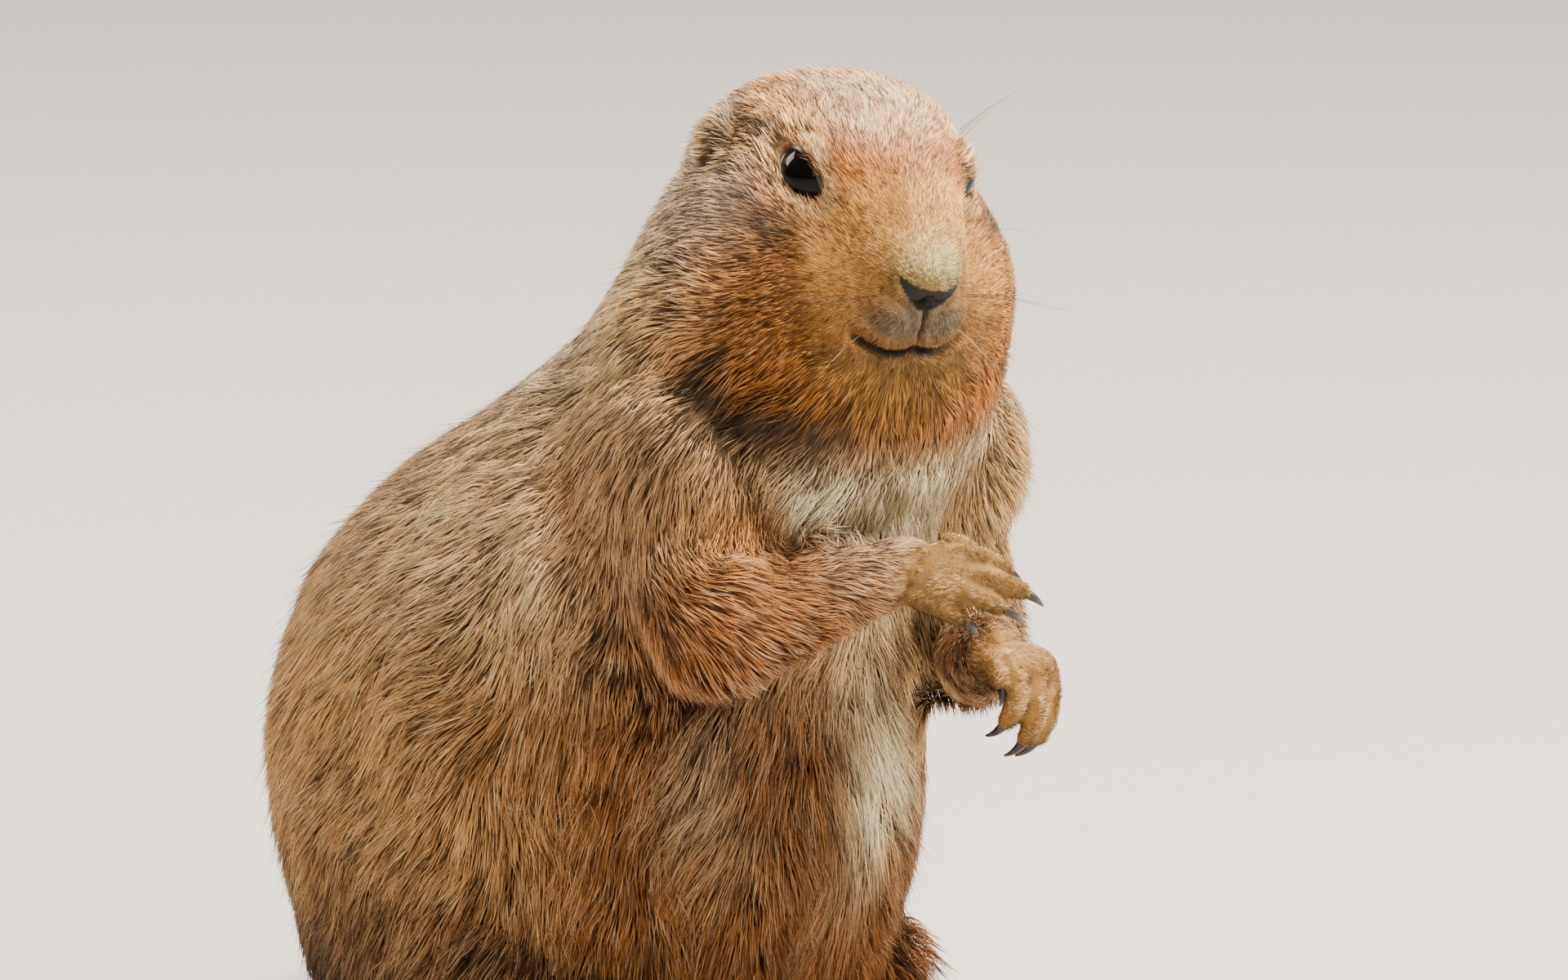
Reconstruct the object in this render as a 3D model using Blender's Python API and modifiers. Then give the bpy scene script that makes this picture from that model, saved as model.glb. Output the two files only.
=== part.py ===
# A black-tailed prairie dog sitting upright on its haunches, life size, with both hands held in front of
# its chest and its head turned to its right.
#
# Metres, +Z up, the floor at z = 0. The animal faces -Y and its left side is +X. The body is modelled
# whole from lofts, ellipsoids and tapered limbs, fused into one skin, and then parted by thin cuts into
# head, neck, torso, arms and thighs. Hands, feet, tail and ears are fused on their own at a finer size
# and sit in pockets of the body. Eyes and claws are separate solids.

import math

import bmesh
import bpy
import numpy as np
from mathutils import Matrix, Vector

UNIT = 0.00088  # one drawing unit in metres: every size below is in these units and scales with it
GAP = 0.0003  # what touching pieces keep between them, in metres

# Head: a yaw of the face away from the body's own direction, the nose dropped, and the left side lowered.
HEAD_CENTRE = (1.3, 74.0, 218.3)  # left, forward, up
HEAD_YAW = 20.5
HEAD_PITCH = 11.0
HEAD_ROLL = 6.2
EYE_PLACE = (17.1, 12.3, 4.3)  # in the head's own frame: outwards, forward, up
EYE_RADIUS = 7.8
EYE_AIM = (62.0, 12.0)  # degrees from the face's direction, and above it
LID_OPENING = (7.4, 4.9, 3.6)  # half length of the almond between the lids, then its heights up and down
LID_TILT = 32.0  # the inner corner points down towards the nose
LID_POINTS = 24
LID_BEVEL = ((1.0, 0.50), (EYE_RADIUS - 1.0, 1.0), (EYE_RADIUS + 1.5, 1.06), (EYE_RADIUS + 6.0, 1.35))
LID_PINCH = 0.30  # how much the almond narrows at its corners
MOUTH = {
    "level": -25.0,
    "sag": 1.6,
    "corner_rise": 0.8,
    "gap": 0.9,
    "depth": 3.0,
    "middle": 31.0,
    "half_length": 13.0,
    "half_width": 13.5,
    "spread": 56.0,
    "steps": 16,
    "outside": 9.0,
}
NOSTRIL = {"points": ((0.9, 46.8, -15.0), (3.0, 46.0, -12.6), (5.6, 44.2, -10.4)), "radius": 0.9}
HEAD_CUT = ((0.0, 0.0, -41.0), (0.0, 0.12, 0.99))  # a point and the way up of the cut, in the head's frame
NECK_CUT = ((0.0, 50.0, 160.0), (0.0, 0.32, 0.95))  # the same in the body's frame
SIDES = {"right": -1, "left": 1}

# Torso sections from the floor up: height, centre forward of the hips, half width, half depth.
TORSO_SECTIONS = (
    (-3.0, -4.0, 28.0, 28.0),
    (0.0, -4.0, 40.0, 40.0),
    (6.0, -3.0, 54.0, 54.0),
    (20.0, -1.0, 64.0, 64.0),
    (40.0, 0.0, 69.5, 70.0),
    (60.0, 0.0, 73.5, 74.0),
    (82.0, 0.5, 74.5, 75.0),
    (102.0, 3.5, 72.0, 72.5),
    (122.0, 11.0, 67.5, 69.5),
    (142.0, 27.0, 61.0, 65.0),
    (160.0, 46.0, 54.5, 58.0),
    (176.0, 58.0, 50.0, 50.0),
    (190.0, 65.0, 46.0, 45.5),
    (203.0, 67.0, 41.0, 40.5),
    (213.0, 67.0, 36.0, 35.0),
    (222.0, 66.0, 28.0, 27.0),
)
SECTION_POINTS = 48
SQUARENESS = 2.15  # exponent of the sections' superellipse
CROWN_SQUARENESS = 2.75  # the same above the head's widest level

# Head sections from the nose back: forward, half width, top, widest level, bottom.
HEAD_SECTIONS = (
    (46.0, 3.0, -8.0, -11.0, -14.0),
    (45.0, 6.8, -5.0, -12.0, -20.0),
    (43.0, 10.0, -2.5, -13.5, -25.5),
    (39.0, 13.0, 0.5, -15.0, -29.5),
    (33.0, 16.3, 5.5, -16.0, -33.0),
    (25.0, 20.6, 12.0, -16.0, -36.5),
    (15.0, 26.0, 18.0, -15.0, -38.0),
    (4.0, 30.5, 21.6, -14.0, -39.0),
    (-8.0, 31.0, 21.8, -13.0, -39.0),
    (-20.0, 29.5, 18.5, -12.0, -38.0),
    (-31.0, 25.0, 9.5, -12.0, -38.0),
    (-39.0, 17.5, -1.5, -14.0, -36.0),
    (-43.0, 9.0, -9.0, -17.0, -30.0),
)

# Paired swellings of the head, in its own frame: outwards, forward, up, then three radii.
CHEEK = ((21.5, 6.0, -17.0), (14.0, 18.0, 16.0))
ORBIT = ((16.8, 12.3, 4.4), (8.9, 9.2, 9.0))
WHISKER_PAD = ((6.6, 35.8, -18.0), (7.4, 9.2, 7.4))
CHIN = ((0.0, 33.0, -28.0), (8.5, 9.0, 6.5))
NOSE_PAD = ((0.0, 41.0, -9.6), (7.6, 5.0, 5.4))

# Limbs as points (left, forward, up) and radii.
SHOULDER = (20.0, 26.0, 28.0)
ARMS = {
    "right": {
        "shoulder": (-42.0, 58.0, 152.0),
        "elbow": (-48.0, 76.0, 120.0),
        "wrist": (-8.0, 99.0, 130.0),
        "radii": (19.0, 16.5, 7.6),
    },
    "left": {
        "shoulder": (42.0, 64.0, 146.0),
        "elbow": (45.0, 74.0, 99.0),
        "wrist": (16.0, 104.0, 107.0),
        "radii": (17.0, 13.5, 7.6),
    },
}
SHIN = {"points": ((47.0, 42.0, 22.0), (40.0, 18.0, 13.0)), "radii": (15.0, 12.0)}
LIMB_MARGIN = 2.6 * UNIT  # how far outside their own forms the limbs are parted from the body
TAIL_MARGIN = 3.0 * UNIT
FLAT_ANGLE = math.radians(1.2)  # neighbouring faces flatter than this are merged at the end
HULL_SLACK = 1.15  # flat facets bring two nested hulls a little closer than their margins
THIGH = {"centre": (46.0, 4.0, 38.0), "radii": (28.0, 43.0, 39.0)}

# Hands: directions of the fingers and of the row from the second finger to the fifth, in the body's frame,
# and each finger's place in the row, start ahead of the palm's end, splay, bends at its three joints towards
# the palm, and length.
HANDS = {
    "right": {
        "along": (0.30, 0.94, -0.10),
        "across": (-0.66, 0.05, -0.75),
        "fingers": (
            (-6.0, 0.5, -4.0, (8.0, 16.0, 16.0), 10.0),
            (-2.0, 1.0, -1.0, (4.0, 12.0, 14.0), 15.0),
            (2.2, 0.0, 3.0, (4.0, 12.0, 14.0), 12.4),
            (6.0, -5.5, 9.0, (8.0, 16.0, 14.0), 10.0),
        ),
    },
    "left": {
        "along": (0.10, 0.98, -0.10),
        "across": (0.98, -0.16, -0.12),
        "fingers": (
            (-6.6, -1.0, -10.0, (60.0, 34.0, 20.0), 13.5),
            (-2.2, 0.3, -2.0, (56.0, 34.0, 18.0), 17.5),
            (2.4, 0.0, 3.0, (56.0, 32.0, 18.0), 17.5),
            (6.6, -1.5, 9.0, (60.0, 28.0, 18.0), 14.0),
        ),
    },
}
PALM_LENGTH = 11.5
PALM = {"middle": 8.5, "radii": (9.0, 9.5, 5.0), "from_wrist": 7.0, "gather": 0.25}
WRIST = {"back": 9.0, "ahead": 5.0, "radii": (7.8, 7.2, 6.4)}
FINGER_RADIUS = 2.7
FINGER_TAPER = (1.05, 1.18, 1.0, 1.02, 0.80)
BONE_SHARES = (0.44, 0.32, 0.24)
THUMB = {
    "place": -8.0,
    "start": 6.5,
    "splay": 24.0,
    "bends": (30.0, 22.0, 10.0),
    "length": 7.5,
    "radii": (2.6, 2.5, 2.1, 1.7),
    "claw_length": 4.0,
    "claw_radius": 1.0,
}
CLAW_LENGTH = 8.5
CLAW_RADIUS = 1.4
CLAW_BEND = 52.0
CLAW_STEPS = 5
CLAW_TAPER = 0.82
CLAW_ROOT = 0.8  # how deep a claw's root lies in the finger
SKIN_TRIANGLES = 5200
FACE_REACH = 70.0 * UNIT  # how far round the head's centre the skin keeps more of its triangles
FACE_SHARE = 0.4
FACE_MIDDLE = (0.0, 24.0, -6.0)
BODY_VOXEL = 2.2 * UNIT  # grid sizes for fusing overlapping forms
FACE_VOXEL = 1.4 * UNIT
FOOT_VOXEL = 1.2 * UNIT
HAND_VOXEL = 0.9 * UNIT
TIP_SWELL = 1.08
HAND_TRIANGLES = 500
FOOT_TRIANGLES = 300

# Hind feet, flat on the floor: the heel's place, then distances along the foot, heights, radii, and the five
# toes from the inner one out, each by its place across the foot, start, splay and length.
FOOT = {
    "heel": (38.0, 20.0),
    "turned_out": 9.0,
    "ball": 35.2,
    "middle": 16.0,
    "heights": (8.0, 9.0, 5.5),
    "radii": (9.5, 10.5, 8.0),
    "heel_radii": (9.5, 9.0, 9.0),
    "ball_radii": (13.0, 11.0, 6.8),
    "toes": (
        (-9.5, -9.0, -12.0, 12.0),
        (-5.0, -1.0, -5.0, 15.5),
        (0.0, 1.0, 1.0, 16.5),
        (5.2, -0.5, 6.0, 15.5),
        (9.6, -9.0, 14.0, 12.5),
    ),
    "toe_start": 5.0,
    "toe_heights": (5.0, 5.8, 3.4),
    "toe_radii": (3.8, 3.7, 3.1),
    "claw": {"bend": 2.0, "length": 7.6, "radius": 1.45, "ahead": 1.0, "above": 1.0},
}

# Tail on the floor behind the hips, swung round to the animal's left.
TAIL_POINTS = (
    (4.0, -46.0, 17.0),
    (12.0, -68.0, 12.0),
    (28.0, -86.0, 9.5),
    (48.0, -96.0, 9.0),
    (68.0, -98.0, 8.0),
)
TAIL_RADII = (13.0, 11.0, 9.8, 9.6, 6.0)

# Ears: place in the head's frame, half sizes of the flap, and the way that it opens.
EAR = {
    "place": (27.0, -13.0, 1.2),
    "radii": (4.8, 6.6, 8.2),
    "opens": (0.62, 0.78, 0.05),
    "cup": 3.4,
    "cup_radii": (3.4, 3.6, 5.8),
}

COAT = (0.50, 0.29, 0.14, 1.0)
TAIL_BLACK = (0.05, 0.035, 0.03, 1.0)
EAR_SKIN = (0.55, 0.36, 0.22, 1.0)
HAND_COAT = (0.56, 0.40, 0.22, 1.0)
CLAW_HORN = (0.07, 0.06, 0.055, 1.0)
EYE_BLACK = (0.012, 0.009, 0.008, 1.0)


def spot(left, forward, up):
    """A point of the body's frame, from drawing units."""
    return Vector((left, -forward, up)) * UNIT


def way(left, forward, up):
    return Vector((left, -forward, up)).normalized()


def head_frame():
    """Turns the head's own axes (left, back, up) into the body's."""
    yaw = Matrix.Rotation(math.radians(-HEAD_YAW), 4, "Z")
    pitch = Matrix.Rotation(math.radians(HEAD_PITCH), 4, "X")
    roll = Matrix.Rotation(math.radians(HEAD_ROLL), 4, "Y")
    return Matrix.Translation(spot(*HEAD_CENTRE)) @ yaw @ pitch @ roll


def clear_scene():
    for obj in list(bpy.data.objects):
        bpy.data.objects.remove(obj)


def coat_material(name, colour, roughness=0.85, metallic=0.0):
    material = bpy.data.materials.new(name)
    material.use_nodes = True
    shader = material.node_tree.nodes["Principled BSDF"]
    shader.inputs["Base Color"].default_value = colour
    shader.inputs["Roughness"].default_value = roughness
    shader.inputs["Metallic"].default_value = metallic
    return material


def linked(name, mesh, collection):
    obj = bpy.data.objects.new(name, mesh)
    collection.objects.link(obj)
    return obj


def mesh_object(name, bm, collection):
    bmesh.ops.recalc_face_normals(bm, faces=bm.faces)
    mesh = bpy.data.meshes.new(name)
    bm.to_mesh(mesh)
    bm.free()
    return linked(name, mesh, collection)


def applied(obj):
    """The object with its modifiers worked into its mesh."""
    graph = bpy.context.evaluated_depsgraph_get()
    mesh = bpy.data.meshes.new_from_object(obj.evaluated_get(graph))
    obj.modifiers.clear()
    obj.data = mesh
    return obj


def copy_of(obj, name, collection):
    return linked(name, obj.data.copy(), collection)


def ellipsoid(name, centre, radii, collection, frame=None, segments=32, rings=20):
    """An ellipsoid at a point given in metres, its axes those of the frame, or of the body."""
    bm = bmesh.new()
    bmesh.ops.create_uvsphere(bm, u_segments=segments, v_segments=rings, radius=1.0)
    turn = Matrix.Identity(4) if frame is None else frame.to_3x3().to_4x4()
    bm.transform(Matrix.Translation(centre) @ turn @ Matrix.Diagonal((*radii, 1.0)))
    return mesh_object(name, bm, collection)


def ring_loft(name, rings, collection):
    """A closed skin through rings of points, each end closed by a fan to its middle."""
    bm = bmesh.new()
    loops = [[bm.verts.new(point) for point in ring] for ring in rings]
    count = len(loops[0])
    for first, second in zip(loops, loops[1:]):
        for i in range(count):
            j = (i + 1) % count
            bm.faces.new((first[i], first[j], second[j], second[i]))
    for loop in (loops[0], loops[-1]):
        middle = bm.verts.new(sum((v.co for v in loop), Vector()) / count)
        for i in range(count):
            bm.faces.new((loop[i], loop[(i + 1) % count], middle))
    return mesh_object(name, bm, collection)


def superellipse(angle, half_x, half_y, power=SQUARENESS):
    """A point of a rounded section: cosine and sine raised to 2 / power, with their signs."""
    c, s = math.cos(angle), math.sin(angle)
    x = math.copysign(abs(c) ** (2.0 / power), c)
    y = math.copysign(abs(s) ** (2.0 / power), s)
    return half_x * x, half_y * y


def smooth_rows(rows, steps):
    """Rows of numbers read along a smooth curve through them, by Catmull-Rom interpolation."""
    rows = np.array(rows, float)
    padded = np.vstack((2 * rows[0] - rows[1], rows, 2 * rows[-1] - rows[-2]))
    found = []
    for i in range(len(rows) - 1):
        a, b, c, d = padded[i : i + 4]
        for k in range(steps):
            t = k / steps
            bend = (2 * a - 5 * b + 4 * c - d) * t**2 + (3 * b - a - 3 * c + d) * t**3
            found.append(0.5 * (2 * b + (c - a) * t + bend))
    found.append(rows[-1])
    return found


def torso_form(collection):
    """The pear-shaped trunk from the seat up into the neck: level sections that lean forward as they rise."""
    rings = []
    for up, forward, half_width, half_depth in smooth_rows(TORSO_SECTIONS, 3):
        ring = []
        for i in range(SECTION_POINTS):
            x, y = superellipse(2 * math.pi * i / SECTION_POINTS, half_width, half_depth)
            ring.append(spot(x, forward + y, up))
        rings.append(ring)
    return ring_loft("trunk_form", rings, collection)


def head_form(frame, collection):
    """The skull and muzzle, as upright sections across the head's own axis, wider below than above."""
    rings = []
    for forward, half_width, top, widest, bottom in smooth_rows(HEAD_SECTIONS, 2):
        ring = []
        for i in range(SECTION_POINTS):
            angle = 2 * math.pi * i / SECTION_POINTS
            power = CROWN_SQUARENESS if math.sin(angle) > 0 else SQUARENESS
            x, z = superellipse(angle, half_width, 1.0, power)
            reach = (top - widest) if z > 0 else (widest - bottom)
            ring.append(frame @ spot(x, forward, widest + z * reach))
        rings.append(ring)
    return ring_loft("skull_form", rings, collection)


def limb(name, points, radii, collection, grow=0.0, steps=6, sides=3):
    """A tapered limb: a curve with a radius at each point, smoothed between them, as a closed mesh."""
    rows = smooth_rows([(*p, r + grow) for p, r in zip(points, radii)], steps)
    curve = bpy.data.curves.new(name, "CURVE")
    curve.dimensions = "3D"
    curve.bevel_depth = 1.0
    curve.bevel_resolution = sides
    curve.use_fill_caps = True
    spline = curve.splines.new("POLY")
    spline.points.add(len(rows) - 1)
    for point, row in zip(spline.points, rows):
        point.co = (*row[:3], 1.0)
        point.radius = row[3]
    drawn = linked(name + "_line", curve, collection)
    graph = bpy.context.evaluated_depsgraph_get()
    mesh = bpy.data.meshes.new_from_object(drawn.evaluated_get(graph))
    bpy.data.objects.remove(drawn)
    bm = bmesh.new()
    bm.from_mesh(mesh)
    bmesh.ops.remove_doubles(bm, verts=bm.verts, dist=1e-6)
    return mesh_object(name, bm, collection)


def joined(name, pieces, collection):
    """The pieces' faces in one mesh, still overlapping."""
    bm = bmesh.new()
    for piece in pieces:
        bm.from_mesh(piece.data)
    for piece in pieces:
        bpy.data.objects.remove(piece)
    mesh = bpy.data.meshes.new(name)
    bm.to_mesh(mesh)
    bm.free()
    return linked(name, mesh, collection)


def fused(name, pieces, voxel, rounds, collection):
    """One closed skin over overlapping pieces, relaxed so that the creases between them fill."""
    obj = joined(name, pieces, collection)
    union = obj.modifiers.new("union", "REMESH")
    union.mode = "VOXEL"
    union.voxel_size = voxel
    relax = obj.modifiers.new("relax", "SMOOTH")
    relax.factor = 0.5
    relax.iterations = rounds
    return applied(obj)


def thinned(obj, triangles, spared=None):
    """The surface in about that many triangles, kept dense where it bends and near a spared point."""
    mesh = obj.data
    mesh.calc_loop_triangles()
    thin = obj.modifiers.new("thin", "DECIMATE")
    thin.ratio = min(1.0, triangles / len(mesh.loop_triangles))
    thin.use_collapse_triangulate = True
    if spared is not None:
        group = obj.vertex_groups.new(name="spared")
        for vert in mesh.vertices:
            near = 1.0 - (vert.co - spared).length / FACE_REACH
            group.add([vert.index], max(0.0, min(1.0, near)), "REPLACE")
        thin.vertex_group = group.name
        thin.invert_vertex_group = True
        thin.vertex_group_factor = FACE_SHARE
    return applied(obj)


def boolean(obj, tool, operation, solver="EXACT"):
    cut = obj.modifiers.new(operation.lower(), "BOOLEAN")
    cut.operation = operation
    cut.object = tool
    cut.solver = solver
    return outward(applied(obj))


def outward(obj):
    """The solid in triangles, with its faces turned out, judged by the sign of its volume."""
    bm = bmesh.new()
    bm.from_mesh(obj.data)
    bmesh.ops.triangulate(bm, faces=bm.faces)
    if bm.calc_volume(signed=True) < 0:
        bmesh.ops.reverse_faces(bm, faces=bm.faces)
    bm.to_mesh(obj.data)
    bm.free()
    return obj


def largest_shell(obj):
    """Only the biggest closed surface stays: a Boolean can leave a scrap beside it."""
    bm = bmesh.new()
    bm.from_mesh(obj.data)
    left, shells = set(bm.verts), []
    while left:
        stack, shell = [left.pop()], []
        while stack:
            vert = stack.pop()
            shell.append(vert)
            for edge in vert.link_edges:
                other = edge.other_vert(vert)
                if other in left:
                    left.remove(other)
                    stack.append(other)
        shells.append(shell)
    shells.sort(key=len, reverse=True)
    for shell in shells[1:]:
        bmesh.ops.delete(bm, geom=shell, context="VERTS")
    bm.to_mesh(obj.data)
    bm.free()
    return obj


def half_space(name, point, facing, collection, size=0.5):
    """A big box that starts at the point and fills the side that the facing vector points to."""
    bm = bmesh.new()
    bmesh.ops.create_cube(bm, size=size)
    turn = facing.normalized().to_track_quat("Z", "Y").to_matrix().to_4x4()
    middle = Matrix.Translation(Vector(point) + facing.normalized() * size / 2)
    bm.transform(middle @ turn)
    return mesh_object(name, bm, collection)


def swollen(obj, distance, collection):
    """A copy of a solid pushed outwards by a small distance, to cut the pocket that the solid sits in."""
    copy = copy_of(obj, obj.name + "_room", collection)
    push = copy.modifiers.new("push", "DISPLACE")
    push.strength = distance
    push.mid_level = 0.0
    return applied(copy)


def hull(name, balls, grow, collection):
    """The convex hull of some balls, each given by its centre and three radii, all grown by a margin."""
    bm = bmesh.new()
    for centre, radii in balls:
        found = bmesh.ops.create_icosphere(bm, subdivisions=2, radius=1.0)
        place = Matrix.Translation(centre) @ Matrix.Diagonal((*[r + grow for r in radii], 1.0))
        bmesh.ops.transform(bm, matrix=place, verts=found["verts"])
    bmesh.ops.delete(bm, geom=list(bm.faces), context="FACES_ONLY")
    bmesh.ops.delete(bm, geom=list(bm.edges), context="EDGES_FACES")
    result = bmesh.ops.convex_hull(bm, input=list(bm.verts))
    bmesh.ops.delete(bm, geom=[v for v in bm.verts if not v.link_faces], context="VERTS")
    return mesh_object(name, bm, collection)


def part_off(name, body, balls, margin, helpers, parts):
    """A new node of the body's part inside the hull of some balls, and a thin cut round it in the body."""
    region = hull("region", balls, margin, helpers)
    wider = hull("wider_region", balls, margin + GAP * HULL_SLACK, helpers)
    node = copy_of(body, name, parts)
    largest_shell(boolean(node, region, "INTERSECT"))
    largest_shell(boolean(body, wider, "DIFFERENCE"))
    return node


def keep_side(obj, point, facing, helpers, inset=0.0):
    """The part of a solid on the side of a plane that the facing vector points to."""
    side = half_space("side", Vector(point) + facing.normalized() * inset, facing, helpers)
    boolean(obj, side, "INTERSECT")
    bpy.data.objects.remove(side)
    return largest_shell(obj)


def eye_frame(head, side):
    """The eye's own axes: -Y looks out of the head, X runs from corner to corner."""
    yaw = Matrix.Rotation(math.radians(side * EYE_AIM[0]), 4, "Z")
    lift = Matrix.Rotation(math.radians(-EYE_AIM[1]), 4, "X")
    tilt = Matrix.Rotation(math.radians(-side * LID_TILT), 4, "Y")
    centre = spot(side * EYE_PLACE[0], EYE_PLACE[1], EYE_PLACE[2])
    return head @ Matrix.Translation(centre) @ yaw @ lift @ tilt


def lid_gap(frame, collection):
    """The space between the lids: an almond along the gaze that widens outwards, pinched at its corners."""
    rings = []
    for depth, scale in LID_BEVEL:
        ring = []
        for i in range(LID_POINTS):
            angle = 2 * math.pi * i / LID_POINTS
            pinch = 1.0 - LID_PINCH * abs(math.cos(angle)) ** 3
            x = LID_OPENING[0] * math.cos(angle) * scale
            height = LID_OPENING[1] if math.sin(angle) > 0 else LID_OPENING[2]
            z = height * math.sin(angle) * pinch * scale
            ring.append(frame @ (Vector((x, -depth, z)) * UNIT))
        rings.append(ring)
    return ring_loft("lid_gap", rings, collection)


def mouth_gap(head, collection):
    """The closed mouth's line: a thin plate that follows the front of the muzzle and bites into it."""
    rings = []
    for k in range(MOUTH["steps"] + 1):
        turn = math.radians(MOUTH["spread"] * (2 * k / MOUTH["steps"] - 1))
        share = abs(2 * k / MOUTH["steps"] - 1)
        sag = MOUTH["sag"] * math.sin(math.pi * share) - MOUTH["corner_rise"] * share**2
        ring = []
        inner, outer = -MOUTH["depth"], MOUTH["outside"]
        for reach, side in ((inner, 1), (inner, -1), (outer, -1), (outer, 1)):
            x = (MOUTH["half_width"] + reach) * math.sin(turn)
            forward = MOUTH["middle"] + (MOUTH["half_length"] + reach) * math.cos(turn)
            ring.append(head @ spot(x, forward, MOUTH["level"] - sag + side * MOUTH["gap"] / 2))
        rings.append(ring)
    return ring_loft("mouth_gap", rings, collection)


def finger_line(base, along, palm, splay, bends, length):
    """Joints of one finger from its knuckle: each joint bends it further towards the palm."""
    heading = (Matrix.Rotation(math.radians(splay), 3, palm) @ along).normalized()
    side = heading.cross(palm).normalized()
    points, total = [Vector(base)], 0.0
    for share, bend in zip(BONE_SHARES, bends):
        total += bend
        step = Matrix.Rotation(math.radians(total), 3, side) @ heading
        points.append(points[-1] + step * length * share * UNIT)
    return points, side, total, heading


def claw(name, root, side, bend, heading, length, radius, collection):
    """A curved, tapering claw: its root is sunk in the finger's end and it bends on towards the palm."""
    points, radii = [], []
    place = root.copy()
    for k in range(CLAW_STEPS + 1):
        share = k / CLAW_STEPS
        points.append(place.copy())
        radii.append(radius * (1.0 - CLAW_TAPER * share**1.5) * UNIT)
        turned = Matrix.Rotation(math.radians(bend + CLAW_BEND * share), 3, side) @ heading
        place += turned * length * UNIT / CLAW_STEPS
    return limb(name, points, radii, collection, steps=1, sides=1)


def hand(side_name, helpers):
    """A hand's palm, four fingers and thumb in one solid, and the root and direction of each claw."""
    plan, arm = HANDS[side_name], ARMS[side_name]
    wrist, elbow = spot(*arm["wrist"]), spot(*arm["elbow"])
    along, across = way(*plan["along"]), way(*plan["across"])
    palm = along.cross(across).normalized()
    across = palm.cross(along).normalized()
    if side_name == "left":
        palm.negate()
    turn_sign = 1.0 if side_name == "right" else -1.0
    frame = Matrix((across, along, palm)).transposed().to_4x4()
    back_of_wrist = wrist + (elbow - wrist).normalized() * WRIST["back"] * UNIT
    wrist_line = [back_of_wrist, wrist, wrist + along * WRIST["ahead"] * UNIT]
    palm_middle = wrist + along * PALM["middle"] * UNIT
    pieces = [
        limb("wrist_form", wrist_line, [r * UNIT for r in WRIST["radii"]], helpers),
        ellipsoid("palm_form", palm_middle, [r * UNIT for r in PALM["radii"]], helpers, frame),
    ]
    claws = []
    for number, (place, start, splay, bends, length) in enumerate(plan["fingers"], start=2):
        base = wrist + along * (PALM_LENGTH + start) * UNIT + across * place * UNIT
        points, side, total, heading = finger_line(base, along, palm, turn_sign * splay, bends, length)
        root = base - along * PALM["from_wrist"] * UNIT - across * place * PALM["gather"] * UNIT
        widths = [FINGER_RADIUS * share * UNIT for share in FINGER_TAPER]
        pieces.append(limb("finger_form", [root, *points], widths, helpers))
        tip_radii = [widths[-1] * TIP_SWELL] * 3
        pieces.append(ellipsoid("finger_end", points[-1], tip_radii, helpers, None, 14, 8))
        sunk = points[-1] - (points[-1] - points[-2]).normalized() * CLAW_ROOT * UNIT
        claws.append((number, sunk, side, total, heading, CLAW_LENGTH, CLAW_RADIUS))
    thumb_base = wrist + along * THUMB["start"] * UNIT + across * THUMB["place"] * UNIT
    points, side, total, heading = finger_line(
        thumb_base, along, palm, -turn_sign * THUMB["splay"], THUMB["bends"], THUMB["length"]
    )
    pieces.append(limb("thumb_form", points, [r * UNIT for r in THUMB["radii"]], helpers))
    claws.insert(0, (1, points[-1], side, total, heading, THUMB["claw_length"], THUMB["claw_radius"]))
    return fused("palm", pieces, HAND_VOXEL, 2, helpers), claws


def foot(side, helpers):
    """A hind foot flat on the floor, its five toes in one solid, and the root of each claw."""
    out = math.radians(FOOT["turned_out"]) * side
    along = Vector((math.sin(out), -math.cos(out), 0.0)) * UNIT
    across = Vector((math.cos(out), math.sin(out), 0.0)) * side * UNIT
    up = Vector((0.0, 0.0, UNIT))
    heel = spot(side * FOOT["heel"][0], FOOT["heel"][1], 0.0)
    ball = heel + along * FOOT["ball"]
    places = (heel, heel + along * FOOT["middle"], ball)
    sole_line = [place + up * height for place, height in zip(places, FOOT["heights"])]
    ball_middle = ball + up * FOOT["toe_heights"][0]
    pieces = [
        limb("sole_form", sole_line, [r * UNIT for r in FOOT["radii"]], helpers),
        ellipsoid("heel_form", sole_line[0], [r * UNIT for r in FOOT["heel_radii"]], helpers),
        ellipsoid("ball_form", ball_middle, [r * UNIT for r in FOOT["ball_radii"]], helpers),
    ]
    claws = []
    nail = FOOT["claw"]
    for number, (place, start, splay, length) in enumerate(FOOT["toes"], start=1):
        turned = Matrix.Rotation(math.radians(side * splay), 3, "Z") @ along
        base = ball + across * place + along * (start + FOOT["toe_start"])
        shares = zip((0.0, 0.5, 1.0), FOOT["toe_heights"])
        line = [base + turned * length * share + up * height for share, height in shares]
        radii = [r * UNIT for r in FOOT["toe_radii"]]
        pieces.append(limb("toe_form", line, radii, helpers))
        pieces.append(ellipsoid("toe_end", line[-1], (radii[-1],) * 3, helpers, None, 14, 8))
        level = turned.cross(-up).normalized()
        root = line[-1] + turned * nail["ahead"] + up * nail["above"]
        claws.append((number, root, level, nail["bend"], turned.normalized(), nail["length"], nail["radius"]))
    return fused("sole", pieces, FOOT_VOXEL, 3, helpers), claws


def ear(head, side, helpers):
    """A low rounded flap, and the hollow that opens outwards and forwards in it and in the head."""
    place = head @ spot(side * EAR["place"][0], EAR["place"][1], EAR["place"][2])
    opens = (head.to_3x3() @ way(side * EAR["opens"][0], EAR["opens"][1], EAR["opens"][2])).normalized()
    thick, wide, tall = (value * UNIT for value in EAR["radii"])
    outer = ellipsoid("ear_form", place, (thick, wide, tall), helpers, head, 14, 10)
    cup_radii = [value * UNIT for value in EAR["cup_radii"]]
    inner = ellipsoid("ear_cup", place + opens * EAR["cup"] * UNIT, cup_radii, helpers, head, 12, 8)
    return outer, inner


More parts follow.
